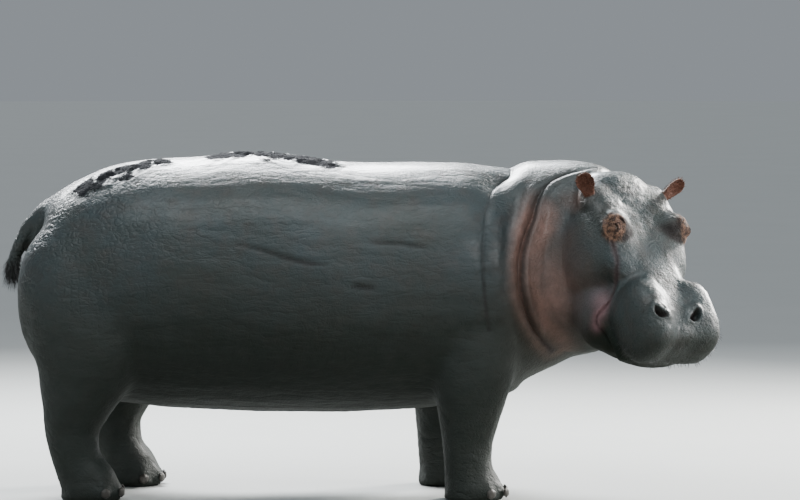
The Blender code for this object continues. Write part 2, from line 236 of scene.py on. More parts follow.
def off_path(points, path):
    """Each point's distance from the path, how far along it (0 to 1) that is, and the way off it."""
    distance = np.full(len(points), np.inf)
    along = np.zeros(len(points))
    away = np.zeros_like(points)
    for i, (start, end) in enumerate(zip(path, path[1:])):
        span = end - start
        t = np.clip((points - start) @ span / (span @ span), 0.0, 1.0)
        gap = points - start - t[:, None] * span
        reach = np.linalg.norm(gap, axis=1)
        closer = reach < distance
        distance[closer] = reach[closer]
        along[closer] = (i + t[closer]) / (len(path) - 1)
        away[closer] = gap[closer]
    return distance, along, away


def groove(distance, along, depth, width, ends=0.12):
    """How far a skin fold pushes each point in: sharp at its line, and fading at both ends."""
    return -depth * np.exp(-distance / width) * fades(along, ends, ends)


print("a smooth line through 3 spots has", len(smooth_path(np.eye(3))), "points")

# %% [markdown]
# ## The smooth body under the skin
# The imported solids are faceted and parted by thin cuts. The flesh of a real animal is one mass, so
# copies of the solids are joined and remeshed with small cubes, which closes the cuts. Smoothing
# then removes the facets. It is strong on the broad trunk, weaker on the legs and weakest on the
# head and tail, whose forms are small. Smoothing also shrinks, so the broad part of what it took
# away is given back.

# %% Join and remesh the flesh
FINE_VOXEL = 0.008
BODY_FORMS = ("trunk", "neck", "head", "tail", "leg_", "eye_")


def joined_copy(prefixes):
    form = bmesh.new()
    for name, node in frame["nodes"].items():
        if name.startswith(prefixes):
            form.from_mesh(node.data)
    mesh = mesh_from(form, "joined")
    mesh.materials.clear()
    return mesh


def remeshed(mesh, voxel):
    thing = new_piece("remeshed", mesh)
    remesh = thing.modifiers.new("one_skin", "REMESH")
    remesh.mode = "VOXEL"
    remesh.voxel_size = voxel
    return applied(thing)


fine = remeshed(joined_copy(BODY_FORMS), FINE_VOXEL)
faceted = points_of(fine)
print("one mass of flesh:", len(fine.vertices), "points")

# %% How strongly each part is smoothed
TRUNK_EASE = 1.0
LEG_EASE = 0.16
HEAD_EASE = 0.045
TAIL_EASE = 0.03
EASE_LEVELS = 40
FACE_CENTRE = (0.28, 0.0, -0.16)


def ease_at(points):
    """How strongly each point is smoothed, from the part of the animal that it lies on."""
    body = in_body(points)
    face = step(np.linalg.norm(in_head(points) - FACE_CENTRE, axis=1), 0.62, 0.40)
    leg = step(body[:, 2], 0.50, 0.38)
    tail = step(body[:, 0], -1.50, -1.58) * step(np.abs(body[:, 1]), 0.10, 0.06)
    level = TRUNK_EASE + (LEG_EASE - TRUNK_EASE) * leg
    level = level + (HEAD_EASE - level) * face
    return level + (TAIL_EASE - level) * tail


ease = np.maximum(np.round(ease_at(faceted) * EASE_LEVELS) / EASE_LEVELS, TAIL_EASE)
print("smoothing from", ease.min(), "to", ease.max())

# %% Smooth, and give back what shrank
SMOOTH_ROUNDS = 200
RESTORE_ROUNDS = 50
fine_thing = new_piece("fine", fine)
ease_group = fine_thing.vertex_groups.new(name="ease")
for level in np.unique(ease):
    ease_group.add(np.flatnonzero(ease == level).tolist(), float(level), "REPLACE")
smooth = fine_thing.modifiers.new("smooth", "SMOOTH")
smooth.factor = 0.5
smooth.iterations = SMOOTH_ROUNDS
smooth.vertex_group = ease_group.name
fine = applied(fine_thing)
lost = eased(faceted - points_of(fine), edges_of(fine), RESTORE_ROUNDS)
set_points(fine, points_of(fine) + lost)
fine_faces = [list(polygon.vertices) for polygon in fine.polygons]
body_tree = BVHTree.FromPolygons([vertex.co.copy() for vertex in fine.vertices], fine_faces)
print("most given back:", round(np.abs(lost).max() * 1000), "mm")

# %% [markdown]
# ## Lines that carry the forms
# Folds, creases and ridges are long and thin, so each is said by a line through a few spots. The
# spots need only be near the surface: the line is laid on the smooth body, which puts all of it
# there. A face has two sides, so its lines are said once, in the head's axes, for both. The front
# of the muzzle is held a little to one side, and on_muzzle draws it back to the middle.

# %% Laying lines on the smooth body
MUZZLE_SHIFT = -0.045


def mirrored(head):
    """Points in the head's axes with both sides of the face laid on its left."""
    return np.column_stack([head[:, 0], np.abs(head[:, 1]), head[:, 2]])


def on_muzzle(head, way=1.0):
    """Head points with the front of the muzzle drawn to the middle, as the animal holds it turned."""
    shift = MUZZLE_SHIFT * step(head[:, 0], 0.45, 0.60)
    return np.column_stack([head[:, 0], head[:, 1] - way * shift, head[:, 2]])


def reach_of(points, spot):
    """Distance from a spot that the face has on both sides."""
    return np.linalg.norm(mirrored(on_muzzle(in_head(points))) - spot, axis=1)


def laid(points):
    return np.array([body_tree.find_nearest(Vector(p))[0] for p in points])


def body_line(*spots):
    """A smooth line through spots in the body's axes, laid on the smooth body."""
    return in_body(laid(smooth_path(spots) + np.array(body_origin)))


def face_line(*spots):
    """A smooth line through spots of the face, laid on the smooth body's right side."""
    path = on_muzzle(smooth_path(spots) * (1, -1, 1), -1.0)
    return mirrored(on_muzzle(in_head(laid(path @ HEAD_AXES.T + np.array(head_origin)))))


def side_of(points, away, toward):
    """1 where a point lies on the same side of a line as the spot toward, and -1 elsewhere."""
    return np.where(np.sum(away * (toward - points + away), axis=1) > 0, 1.0, -1.0)


print("the muzzle is held", -MUZZLE_SHIFT * 1000, "mm to one side")

# %% Lines of the face
EYE_SPOT = np.array((EYE_ALONG, EYE_ASIDE, EYE_ABOVE))
NOSTRIL_SPOT = np.array((0.628, 0.097, 0.034))
EAR_SPOT = np.array((0.000, 0.205, -0.010))
CHEEK_CREASE = face_line(
    (0.246, 0.193, -0.007),
    (0.292, 0.189, -0.019),
    (0.331, 0.185, -0.034),
    (0.355, 0.184, -0.056),
    (0.373, 0.175, -0.081),
    (0.397, 0.168, -0.122),
    (0.414, 0.169, -0.147),
    (0.431, 0.173, -0.180),
    (0.442, 0.183, -0.222),
    (0.448, 0.187, -0.250),
    (0.462, 0.194, -0.266),
    (0.480, 0.200, -0.280),
)
LIP_LINE = face_line(
    (0.472, 0.198, -0.275),
    (0.502, 0.182, -0.272),
    (0.535, 0.162, -0.266),
    (0.572, 0.146, -0.268),
    (0.611, 0.129, -0.278),
    (0.625, 0.100, -0.305),
    (0.615, 0.070, -0.335),
    (0.622, 0.030, -0.340),
    (0.630, 0.000, -0.335),
)
PHILTRUM = face_line(
    (0.600, 0.0, 0.012),
    (0.680, 0.0, -0.010),
    (0.730, 0.0, -0.080),
    (0.740, 0.0, -0.200),
)
SNOUT_RIDGE = face_line(
    (0.085, 0.036, 0.006),
    (0.156, 0.041, 0.005),
    (0.237, 0.040, 0.006),
    (0.299, 0.060, 0.003),
    (0.361, 0.075, -0.007),
    (0.433, 0.080, -0.004),
    (0.520, 0.080, 0.021),
)
BROW_RIDGE = face_line(
    (0.080, 0.192, 0.006),
    (0.076, 0.152, 0.017),
    (0.090, 0.077, 0.012),
    (0.118, 0.039, 0.005),
    (0.148, 0.008, 0.006),
)
CHEEK_ARCH = face_line(
    (0.038, 0.225, -0.135),
    (0.023, 0.213, -0.112),
    (0.034, 0.210, -0.060),
    (0.060, 0.215, -0.016),
)
print("cheek crease:", len(CHEEK_CREASE), "points")

# %% Lines of the folds on the neck and trunk
MAIN_FOLD = body_line(
    (0.841, -0.145, 1.364),
    (0.768, -0.194, 1.366),
    (0.693, -0.216, 1.349),
    (0.626, -0.234, 1.321),
    (0.588, -0.256, 1.284),
    (0.562, -0.282, 1.236),
    (0.547, -0.306, 1.175),
    (0.524, -0.325, 1.114),
    (0.507, -0.341, 1.053),
    (0.499, -0.357, 0.992),
    (0.499, -0.367, 0.918),
    (0.507, -0.368, 0.852),
    (0.532, -0.352, 0.768),
    (0.571, -0.308, 0.686),
    (0.632, -0.218, 0.612),
)
JAW_VALLEY = body_line(
    (0.645, -0.273, 1.273),
    (0.618, -0.309, 1.179),
    (0.603, -0.325, 1.106),
    (0.611, -0.336, 0.999),
    (0.632, -0.333, 0.895),
    (0.662, -0.315, 0.790),
)
SHOULDER_CREASE = body_line(
    (0.420, 0.240, 1.260),
    (0.450, 0.120, 1.350),
    (0.462, -0.010, 1.375),
    (0.456, -0.140, 1.358),
    (0.428, -0.180, 1.335),
    (0.398, -0.227, 1.308),
    (0.372, -0.294, 1.261),
    (0.354, -0.354, 1.186),
    (0.345, -0.401, 1.085),
    (0.341, -0.423, 0.984),
    (0.349, -0.426, 0.840),
    (0.366, -0.410, 0.715),
)
print("main fold:", len(MAIN_FOLD), "points")

# %% Lines of the mud and of the flank
RUMP_CRUST = body_line(
    (-1.310, -0.179, 1.297),
    (-1.247, -0.186, 1.322),
    (-1.165, -0.167, 1.355),
    (-1.083, -0.136, 1.379),
    (-1.001, -0.111, 1.394),
)
LOIN_CRUST = body_line(
    (-0.740, -0.060, 1.410),
    (-0.640, -0.060, 1.420),
    (-0.540, -0.070, 1.420),
    (-0.420, -0.090, 1.415),
    (-0.300, -0.120, 1.410),
)
FLANK_CREASES = (
    body_line(
        (-0.720, -0.455, 1.085),
        (-0.560, -0.470, 1.045),
        (-0.409, -0.476, 1.000),
        (-0.260, -0.474, 0.985),
    ),
    body_line((-0.150, -0.460, 1.082), (0.000, -0.455, 1.075), (0.140, -0.445, 1.055)),
    body_line((-0.210, -0.480, 0.900), (-0.150, -0.480, 0.893), (-0.100, -0.478, 0.890)),
)
print("flank creases:", len(FLANK_CREASES))

# %% [markdown]
# ## Points where they are needed
# A skin with small faces everywhere would be far too heavy. The trunk takes large faces, and the
# faces are split once or more on the head, on the folds of the neck, on the feet and round the
# eyes, nostrils and mouth. After each split the new points are eased and drawn onto the smooth
# body, so that they take up its true shape.

# %% Which faces are split
HEAD_CENTRE = (0.30, 0.0, -0.17)
MUD_SEED = 11.0


def mud_share(body):
    """Where dried mud lies along the top of the back, from 0 to 1."""
    ragged = (1.0 + 0.7 * drift(body * (0.5, 1.0, 1.0), 0.07, MUD_SEED)).clip(0.35)
    rump = off_path(body, RUMP_CRUST[::4])[0]
    loin = off_path(body, LOIN_CRUST[::4])[0]
    return np.maximum(bell(rump / ragged, 0.060), bell(loin / ragged, 0.080))


def within(points, path, reach):
    """Whether each point is nearer to a line than reach."""
    return off_path(points, path)[0] < reach


def wants_first(points):
    """Faces of about 9 mm: head, neck, feet, tail and the crusted back."""
    body = in_body(points)
    wanted = np.linalg.norm(in_head(points) - HEAD_CENTRE, axis=1) < 0.46
    wanted |= within(body, MAIN_FOLD[::8], 0.13) | within(body, SHOULDER_CREASE[::8], 0.05)
    for path in FLANK_CREASES:
        wanted |= within(body, path[::4], 0.028)
    feet = body[:, 2] < 0.15
    tail = body[:, 0] < -1.55
    return wanted | feet | tail | (mud_share(body) > 0.10)


def wants_second(points):
    """Faces of about 4.5 mm: muzzle, eyes, mouth, ear roots and the main fold."""
    body = in_body(points)
    face = mirrored(on_muzzle(in_head(points)))
    wanted = within(face, CHEEK_CREASE[::4], 0.040) | within(face, LIP_LINE[::4], 0.030)
    for spot, reach in ((EYE_SPOT, 0.085), (NOSTRIL_SPOT, 0.075), (EAR_SPOT, 0.060)):
        wanted |= reach_of(points, spot) < reach
    wanted |= within(body, MAIN_FOLD[::4], 0.034) | within(body, SHOULDER_CREASE[::4], 0.014)
    tail = body[:, 0] < -1.58
    return wanted | tail


def wants_third(points):
    """Faces of about 2 mm: lids and nostril rims."""
    return (reach_of(points, EYE_SPOT) < 0.052) | (reach_of(points, NOSTRIL_SPOT) < 0.040)


print("faces are split in 3 steps")

# %% Split the skin's faces zone by zone
CAGE_VOXEL = 0.020
CAGE_ROUNDS = 4
SPLIT_ROUNDS = 2


def split_where(mesh, wanted):
    """Cuts every chosen face in four."""
    form = bmesh.new()
    form.from_mesh(mesh)
    chosen = wanted(np.array([face.calc_center_median() for face in form.faces]))
    edges = {edge for face, pick in zip(form.faces, chosen) if pick for edge in face.edges}
    bmesh.ops.subdivide_edges(form, edges=list(edges), cuts=1, use_grid_fill=True)
    form.to_mesh(mesh)
    form.free()


def drawn_onto_body(mesh, rounds):
    """Eases the mesh and puts each point at the nearest place on the smooth body."""
    set_points(mesh, laid(eased(points_of(mesh), edges_of(mesh), rounds)))


skin_mesh = remeshed(fine.copy(), CAGE_VOXEL)
drawn_onto_body(skin_mesh, CAGE_ROUNDS)
print("cage:", triangles_in(skin_mesh), "triangles")
for wants in (wants_first, wants_second, wants_third):
    split_where(skin_mesh, wants)
    drawn_onto_body(skin_mesh, SPLIT_ROUNDS)
    print("split:", triangles_in(skin_mesh), "triangles")

# %% [markdown]
# ## Folds, creases and bulges
# A hippopotamus that turns its head piles the skin of its neck into rolls, with one deep fold
# between them. A fold could be sculpted by hand, but a line and a distance say the same thing in
# numbers: points near the line are pushed in along their normals, and those a little further off
# are pushed out, which makes the rolls. Every form below is one such rule.

# %% Neck
FOLD_DEPTH = 0.030
FOLD_WIDTH = 0.009
STRETCH_SPACING = 0.036
JAW_SIDE = np.array((0.72, -0.36, 1.10))


def neck_rise(body):
    distance, along, away = off_path(body, MAIN_FOLD)
    ahead = distance * side_of(body, away, JAW_SIDE)
    ends = fades(along, 0.08, 0.12)
    strong = step(along, 0.20, 0.42) * ends
    rise = -(0.005 * ends + FOLD_DEPTH * strong) * np.exp(-distance / FOLD_WIDTH)
    # the roll at the fold's edge, a broad one on each side of it, and the hollow behind them
    rise += (0.007 * ends + 0.006 * strong) * bell(ahead - 0.020, 0.016)
    rise += 0.009 * strong * (bell(ahead - 0.050, 0.030) + bell(ahead + 0.036, 0.022))
    rise -= 0.005 * strong * bell(ahead + 0.078, 0.020)
    # faint lines in the skin that is stretched beside the rolls
    stretch = np.sin(ahead * (2 * math.pi / STRETCH_SPACING) + 2.0 * drift(body, 0.12))
    rise += 0.0018 * stretch * bell(ahead - 0.100, 0.045) * strong
    # the valley between neck and jaw, and the crease before the shoulder
    distance, along, _ = off_path(body, JAW_VALLEY)
    rise -= 0.010 * bell(distance, 0.030) * fades(along, 0.2, 0.2)
    distance, along, _ = off_path(body, SHOULDER_CREASE)
    top = step(body[:, 2], 1.25, 1.33)
    crease = 0.007 * np.exp(-distance / 0.007) + (0.004 + 0.014 * top) * bell(distance, 0.045)
    return rise - fades(along, 0.20, 0.25) * crease


print("main fold:", FOLD_DEPTH * 1000, "mm deep")

# %% Trunk
MUD_LIFT = 0.003
MUD_LUMP = 0.012


def trunk_rise(body):
    rise = 0.005 * drift(body, 0.26) + 0.0024 * drift(body * (0.45, 1.0, 1.5), 0.085, 4.0)
    for path in FLANK_CREASES:
        distance, along, _ = off_path(body, path)
        rise += groove(distance, along, 0.007, 0.007, 0.3) + 0.001 * bell(distance - 0.028, 0.016)
    crust = mud_share(body) * step(drift(body, 0.035, 7.0), -0.35, 0.10)
    lumps = 0.5 + 0.5 * drift(body, 0.045, 9.0) + 0.35 * drift(body, 0.016, 2.0)
    mud = crust * (MUD_LIFT + MUD_LUMP * np.clip(lumps, 0.0, 1.0))
    return rise * step(body[:, 2], 0.25, 0.5) + mud


print("mud:", MUD_LIFT * 1000, "to", (MUD_LIFT + MUD_LUMP) * 1000, "mm thick")

# %% [markdown]
# ## The face
# The cheek ends in a crease that starts below the eye, deepens and becomes the corner of the mouth.
# The upper lip hangs over the lower jaw, the nostrils are slanting slits with swollen rims, and a
# shallow groove runs down between them. All of it is said once, for a face whose two sides are
# laid on each other.

# %% Cheek and mouth
MUZZLE_MIDDLE = np.array((0.60, 0.0, -0.08))
RIDGES = ((SNOUT_RIDGE, 0.004, 0.024), (BROW_RIDGE, 0.003, 0.020), (CHEEK_ARCH, 0.007, 0.024))


def mouth_rise(face):
    # the crease, with a soft edge on each side
    distance, along, away = off_path(face, CHEEK_CREASE)
    ahead = distance * side_of(face, away, MUZZLE_MIDDLE)
    depth = 0.005 + 0.010 * step(along, 0.30, 0.60)
    rise = -depth * np.exp(-distance / 0.0055) * step(along, 0.0, 0.10)
    rise += 0.008 * bell(ahead - 0.022, 0.016) * step(along, 0.1, 0.5)
    rise += 0.003 * bell(ahead + 0.016, 0.010) * step(along, 0.35, 0.6)
    # the upper lip, and the jaw set back below it
    distance, along, away = off_path(face, LIP_LINE)
    ahead = distance * side_of(face, away, MUZZLE_MIDDLE)
    rise += -0.016 * np.exp(-distance / 0.006)
    rise += 0.006 * bell(ahead - 0.022, 0.018) * step(along, 0.75, 0.55)
    rise -= 0.010 * step(ahead, 0.004, -0.006) * bell(distance, 0.040) * step(along, 0.80, 0.60)
    distance, along, _ = off_path(face, PHILTRUM)
    rise += -0.0035 * bell(distance, 0.014) * step(along, 0.0, 0.2) * step(along, 0.8, 0.3)
    for path, height, width in RIDGES:
        distance, along, _ = off_path(face, path)
        rise += height * bell(distance, width) * fades(along, 0.2, 0.15)
    # the dent between eye and snout, the narrowed muzzle and the rough crown
    dent = np.linalg.norm((face - (0.300, 0.130, -0.020)) / (0.090, 0.040, 0.060), axis=1)
    rise -= 0.004 * bell(dent, 1.0)
    rise -= 0.006 * step(face[:, 0], 0.48, 0.60)
    crown = bell(np.linalg.norm((face - (0.03, 0.0, 0.0)) / (0.11, 0.16, 0.08), axis=1), 1.0)
    rough = drift(face, 0.022, 6.0) + 0.6 * drift(face, 0.011, 8.0)
    return rise + (0.0012 + 0.0022 * crown) * rough * step(face[:, 0], -0.12, -0.02)


print("ridges of the face:", len(RIDGES))

# %% Nostrils
NOSTRIL_WAY = np.array((0.67, -0.72, 0.18))
NOSTRIL_ACROSS = np.array((0.72, 0.67, 0.0))
NOSTRIL_HALF_LENGTH = 0.0250
NOSTRIL_HALF_WIDTH = 0.0135
NOSTRIL_DEPTH = 0.028


def nostril_slit(face):
    """0 at the middle of a nostril, 1 at its edge, and growing outwards."""
    gap = face - NOSTRIL_SPOT
    along = gap @ NOSTRIL_WAY / NOSTRIL_HALF_LENGTH
    across = gap @ NOSTRIL_ACROSS / NOSTRIL_HALF_WIDTH + 0.45 * along**2 - 0.25
    height = np.abs(gap[:, 2]) / 0.07
    return np.sqrt(along**2 + across**2 + height**4)


def nostril_rise(face):
    slit = nostril_slit(face)
    gap = face - NOSTRIL_SPOT
    reach = np.linalg.norm(gap, axis=1)
    behind = step(gap @ NOSTRIL_ACROSS, 0.020, -0.015)
    rise = -NOSTRIL_DEPTH * step(slit, 1.35, 0.45)
    rise += 0.004 * bell(slit - 1.7, 0.5)
    return rise + (0.003 + 0.006 * behind) * bell(reach - 0.040, 0.018) * step(slit, 1.0, 1.4)


print("nostrils:", NOSTRIL_HALF_LENGTH * 2000, "mm long")

# %% [markdown]
# ## Eyelids
# The eyes stand on top of the head, each on its own mound. The lids are thick, cross-wrinkled and
# almost shut here, so a narrow slit shows the eye. Round the eyeball the skin is raised to a dome a
# little larger than the ball; within the slit it is pushed behind the ball's surface.

# %% Lids
EYE_RADIUS = 0.021
LID_RADIUS = EYE_RADIUS + 0.0042
EYE_WAY = unit((0.16, 0.74, 0.65))
LID_FORWARD = unit(np.array((1.0, 0.0, 0.0)) - EYE_WAY * EYE_WAY[0])
LID_UP = np.cross(LID_FORWARD, EYE_WAY)
SLIT_HALF_LENGTH = 0.0185
SLIT_HALF_HEIGHT = 0.0028
SLIT_OFFSET = 0.0095
SLIT_DEPTH = 0.008
RING_SPACING = 0.0105


def lid_places(face):
    """Each point's height off the eye's centre, and its place forward and up across the lids."""
    gap = face - EYE_SPOT
    return gap @ EYE_WAY, gap @ LID_FORWARD, gap @ LID_UP


def lid_shift(face):
    """How far each point moves along the eye's own direction."""
    height, forward, up = lid_places(face)
    spread = np.hypot(forward, up)
    near = step(spread, 0.075, 0.055) * step(height, -0.02, 0.0)
    dome = np.sqrt(np.maximum(LID_RADIUS**2 - spread**2, 0.0))
    raised = np.maximum(height + 0.008 * bell(spread, 0.040), dome)
    # the brow over the lids and the furrow inside it
    raised += 0.005 * bell(spread - 0.054, 0.014) * step(up, 0.0, 0.02)
    raised -= 0.012 * np.exp(-np.abs(spread - 0.044) / 0.0055) * step(up + 0.3 * forward, 0.004, 0.026)
    # wrinkles that run round the eye
    rings = np.sin(spread * (2 * math.pi / RING_SPACING) + 2.6 * drift(face, 0.022))
    rings += 0.8 * drift(face, 0.008)
    raised += 0.0011 * rings * bell(spread - 0.036, 0.016) * step(up, 0.016, -0.006)
    # the slit, which is bowed and has a raised margin
    off_middle = (forward / SLIT_HALF_LENGTH) ** 2
    margin = np.abs(up - SLIT_OFFSET + 0.006 * off_middle) - SLIT_HALF_HEIGHT * (1.0 - off_middle)
    raised += 0.0018 * bell(margin - 0.003, 0.0025) * step(spread, 0.030, 0.022)
    open_share = step(margin, 0.0008, -0.0012)
    raised = raised + (SLIT_DEPTH - raised) * open_share
    return (raised - height) * near


print("lids stand", round((LID_RADIUS - EYE_RADIUS) * 1000, 1), "mm off the eyeball")

# %% Carve the skin
points = points_of(skin_mesh)
ways = normals_of(skin_mesh)
body = in_body(points)
face = mirrored(on_muzzle(in_head(points)))
rise = neck_rise(body) + trunk_rise(body) * step(body[:, 0], 0.55, 0.35)
rise = rise + mouth_rise(face) + nostril_rise(face)
points = points + ways * rise[:, None]

head = in_head(points)
shift = lid_shift(mirrored(head))
eye_ways = np.where(head[:, 1:2] < 0, EYE_WAY * (1, -1, 1), EYE_WAY) @ HEAD_AXES.T
points = points + eye_ways * shift[:, None]
points[:, 2] = np.maximum(points[:, 2], 0.0)
set_points(skin_mesh, points)
print("deepest fold:", round(-rise.min() * 1000, 1), "mm, highest roll:", round(rise.max() * 1000, 1), "mm")

# %% [markdown]
# ## Ears
# The ears are small thick cups on stalks. A ring whose front is hollow and whose back is round,
# swept from the root to the tip, gives a closed solid with a soft rim. Each ear is joined to the
# skin with an exact union, and the join is eased, so that it grows out of the head with no seam.

# %% Ear shapes
EAR_POSES = {
    # length, the way that the ear leans and the way that its cup faces
    "right": (0.105, np.array((-0.400, -0.620, 0.680)), np.array((0.880, -0.250, 0.100))),
    "left": (0.099, np.array((-0.270, 0.560, 0.760)), np.array((0.930, -0.060, 0.360))),
}
EAR_RING = 28
EAR_ROWS = [
    # share of the length, half-width, cup depth, wall
    (-0.45, 0.022, 0.000, 0.034),
    (-0.10, 0.023, 0.000, 0.034),
    (0.12, 0.026, 0.006, 0.026),
    (0.35, 0.034, 0.018, 0.013),
    (0.60, 0.038, 0.021, 0.009),
    (0.82, 0.033, 0.015, 0.008),
    (0.95, 0.021, 0.007, 0.007),
    (1.00, 0.006, 0.002, 0.005),
]


def ear_mesh(side):
    length, lean, facing = EAR_POSES[side]
    root = EAR_SPOT * (1.0, SIDES[side], 1.0)
    out = unit(lean)
    facing = unit(facing - facing @ out * out)
    across = np.cross(out, facing)
    form = bmesh.new()
    rings = []
    for share, wide, cup, wall in smooth_path(EAR_ROWS, 4):
        ring = []
        for turn in np.arange(EAR_RING) * (2 * math.pi / EAR_RING):
            rim = math.copysign(abs(math.sin(turn)) ** 0.6, math.sin(turn)) * wall / 2
            lift = rim - cup * math.sin(turn) ** 2 + 0.3 * cup
            spot = root + out * share * length + across * wide * math.cos(turn) + facing * lift
            ring.append(form.verts.new(from_head(*spot)))
        rings.append(ring)
    for low, high in zip(rings, rings[1:]):
        for i in range(EAR_RING):
            after = (i + 1) % EAR_RING
            form.faces.new((low[i], low[after], high[after], high[i]))
    form.faces.new(rings[0])
    form.faces.new(rings[-1])
    bmesh.ops.recalc_face_normals(form, faces=form.faces)
    return mesh_from(form, "ear")


print("each ear has", EAR_RING, "points round it")

# %% Join the ears to the skin
skin_mesh.materials.clear()
skin_mesh.materials.append(bpy.data.materials.new("skin_side"))
ear_side = bpy.data.materials.new("ear_side")
for side in SIDES:
    ear = ear_mesh(side)
    ear.materials.append(ear_side)
    skin_thing = new_piece("skin_thing", skin_mesh)
    ear_thing = new_piece("ear_thing", ear)
    union = skin_thing.modifiers.new("union", "BOOLEAN")
    union.operation = "UNION"
    union.solver = "EXACT"
    union.material_mode = "TRANSFER"
    union.object = ear_thing
    skin_mesh = applied(skin_thing)
    bpy.data.objects.remove(ear_thing)
print("skin and ears:", triangles_in(skin_mesh), "triangles")

# %% Ease the join
JOIN_REACH = 0.012
JOIN_ROUNDS = 6
ear_index = skin_mesh.materials.find(ear_side.name)
on_ear = np.zeros(len(skin_mesh.vertices), bool)
on_skin = np.zeros(len(skin_mesh.vertices), bool)
for polygon in skin_mesh.polygons:
    (on_ear if polygon.material_index == ear_index else on_skin)[list(polygon.vertices)] = True
join_line = np.flatnonzero(on_ear & on_skin)
points = points_of(skin_mesh)
near = KDTree(len(join_line))
for order, index in enumerate(join_line):
    near.insert(points[index], order)
near.balance()
share = np.zeros(len(points))
for index in np.flatnonzero(reach_of(points, EAR_SPOT) < 0.15):
    share[index] = 0.5 * step(near.find(points[index])[2], JOIN_REACH, 0.0)
set_points(skin_mesh, eased(points, edges_of(skin_mesh), JOIN_ROUNDS, share))
ear_share = eased(np.where(on_ear, 1.0, 0.0)[:, None], edges_of(skin_mesh), JOIN_ROUNDS)[:, 0]
print("join line:", len(join_line), "points")

# %% [markdown]
# ## Where the colours lie
# A hippopotamus is slate grey, and shows pink-brown skin in the folds of its neck, at the mouth's
# corners, on its lids and in its ears. Painted shade makes it near black low down and on its
# undersides, and dark in creases, nostrils and pits. Each of these places is a number from 0 to 1
# on every point of the skin, worked out from the same lines that shaped it. The material reads
# them as attributes, so colour and form can't drift apart.

# %% Pink and mauve skin
def throat_share(body):
    """The bare skin of the throat, on the side of the inner fold."""
    inner_side = step(body[:, 1], -0.02, -0.16)
    return bell((body[:, 0] - 0.60) / 0.13, 1.0) * bell((body[:, 2] - 0.84) / 0.26, 1.0) * inner_side


def pink_skin(body, face, blotch):
    fold, along, away = off_path(body, MAIN_FOLD)
    ahead = fold * side_of(body, away, JAW_SIDE)
    bands = np.maximum(bell(ahead + 0.030, 0.034), bell(ahead - 0.060, 0.052)) * step(along, 0.26, 0.46)
    behind_ear = bell(np.linalg.norm(face - (-0.03, 0.235, -0.09), axis=1), 0.055)
    pink = np.maximum.reduce([bands, 0.75 * throat_share(body), 0.7 * behind_ear])
    return pink * (0.85 + 0.35 * blotch)


def mauve_skin(face, blotch):
    crease, along, _ = off_path(face, CHEEK_CREASE)
    corner = bell(crease, 0.030) * step(along, 0.45, 0.75)
    behind_mouth = bell(np.linalg.norm(face - (0.405, 0.190, -0.205), axis=1), 0.048)
    mauve = np.maximum.reduce([corner, 0.25 * bell(crease, 0.012), 0.75 * behind_mouth])
    return mauve * (0.9 + 0.4 * blotch)


print("pink skin lies at the folds, the throat and the ears, mauve at the mouth")

# %% Lids, and painted shade in creases
def lid_skin(points, face):
    """The brown patch round each eye."""
    height, forward, up = lid_places(face)
    patch = np.hypot(forward + 0.007, up - 0.004) + 0.014 * drift(points, 0.026)
    return step(patch, 0.070, 0.054) * step(height, -0.03, 0.0)


def painted_crease_shade(body, face, lids):
    """Painted shade in folds and creases, the nostrils, round the lids and in the slit between them."""
    _, forward, up = lid_places(face)
    off_slit = np.maximum(np.abs(up - SLIT_OFFSET) - SLIT_HALF_HEIGHT, 0.0)
    slit = bell(off_slit, 0.004) * bell(forward, 0.020) * lids
    furrow = bell(np.hypot(forward, up) - 0.050, 0.013) * step(up + 0.3 * forward, 0.006, 0.030)
    fold, along, _ = off_path(body, MAIN_FOLD)
    lines = [slit, 0.95 * furrow, step(nostril_slit(face), 1.5, 0.9)]
    lines.append(bell(fold, 0.009) * step(along, 0.05, 0.3))
    lines.append(bell(off_path(face, CHEEK_CREASE)[0], 0.006))
    lines.append(bell(off_path(face, LIP_LINE)[0], 0.006))
    lines.append(0.55 * bell(off_path(body, SHOULDER_CREASE)[0], 0.008))
    for path in FLANK_CREASES:
        flank, along, _ = off_path(body, path)
        lines.append(0.7 * bell(flank, 0.009) * fades(along, 0.25, 0.25))
    return np.maximum.reduce(lines)


print("dark lines follow", 4 + len(FLANK_CREASES), "creases")

# %% Masks
def mask_attribute(mesh, name, values):
    layer = mesh.attributes.new(name, "FLOAT", "POINT")
    layer.data.foreach_set("value", np.clip(values, 0.0, 1.0).astype(np.float32))


def skin_masks(points, ways):
    body = in_body(points)
    head = in_head(points)
    face = mirrored(on_muzzle(head))
    blotch = drift(points, 0.10, 3.0)
    lids = lid_skin(points, face)
    on_head = step(body[:, 0], 0.45, 0.70)
    # painted shade: darker towards the bottom of the trunk and of the head
    shade = (1 - on_head) * step(body[:, 2], 1.22, 0.60) + on_head * step(body[:, 2], 0.86, 0.52)
    # the chin, low on the muzzle, takes painted shade through the underside mask and a dull finish
    chin = step(face[:, 0], 0.38, 0.50) * step(face[:, 2], -0.12, -0.27) * step(body[:, 0], 0.62, 0.80)
    facings = [HEAD_AXES @ unit(pose[2]) for pose in EAR_POSES.values()]
    cup_way = np.where(head[:, 1:2] < 0, *facings)
    return {
        "pink": pink_skin(body, face, blotch),
        "mauve": mauve_skin(face, blotch),
        "lids": lids,
        "ears": ear_share,
        # painted shade in creases, nostrils, the furrow round the lids and the lid slit
        "dark": painted_crease_shade(body, face, lids),
        "mud": mud_share(body) * (1.05 + 0.8 * drift(points, 0.04, 5.0)),
        "muzzle": step(face[:, 0], 0.48, 0.58),
        "matt": np.maximum(0.85 * chin, 0.6 * throat_share(body) * step(body[:, 2], 1.0, 0.8)),
        "shade": shade,
        "cup": ear_share * step(np.sum(ways * cup_way, axis=1), 0.1, 0.7),
        # painted shade on faces that look down and under the chin; it also thins the wet film
        "under": np.maximum(step(ways[:, 2], 0.20, -0.50), chin),
        "crackle": step(body[:, 0], -0.75, -1.15) * step(body[:, 2], 0.55, 0.95),
        "trunk": step(body[:, 0], 0.62, 0.40),
    }


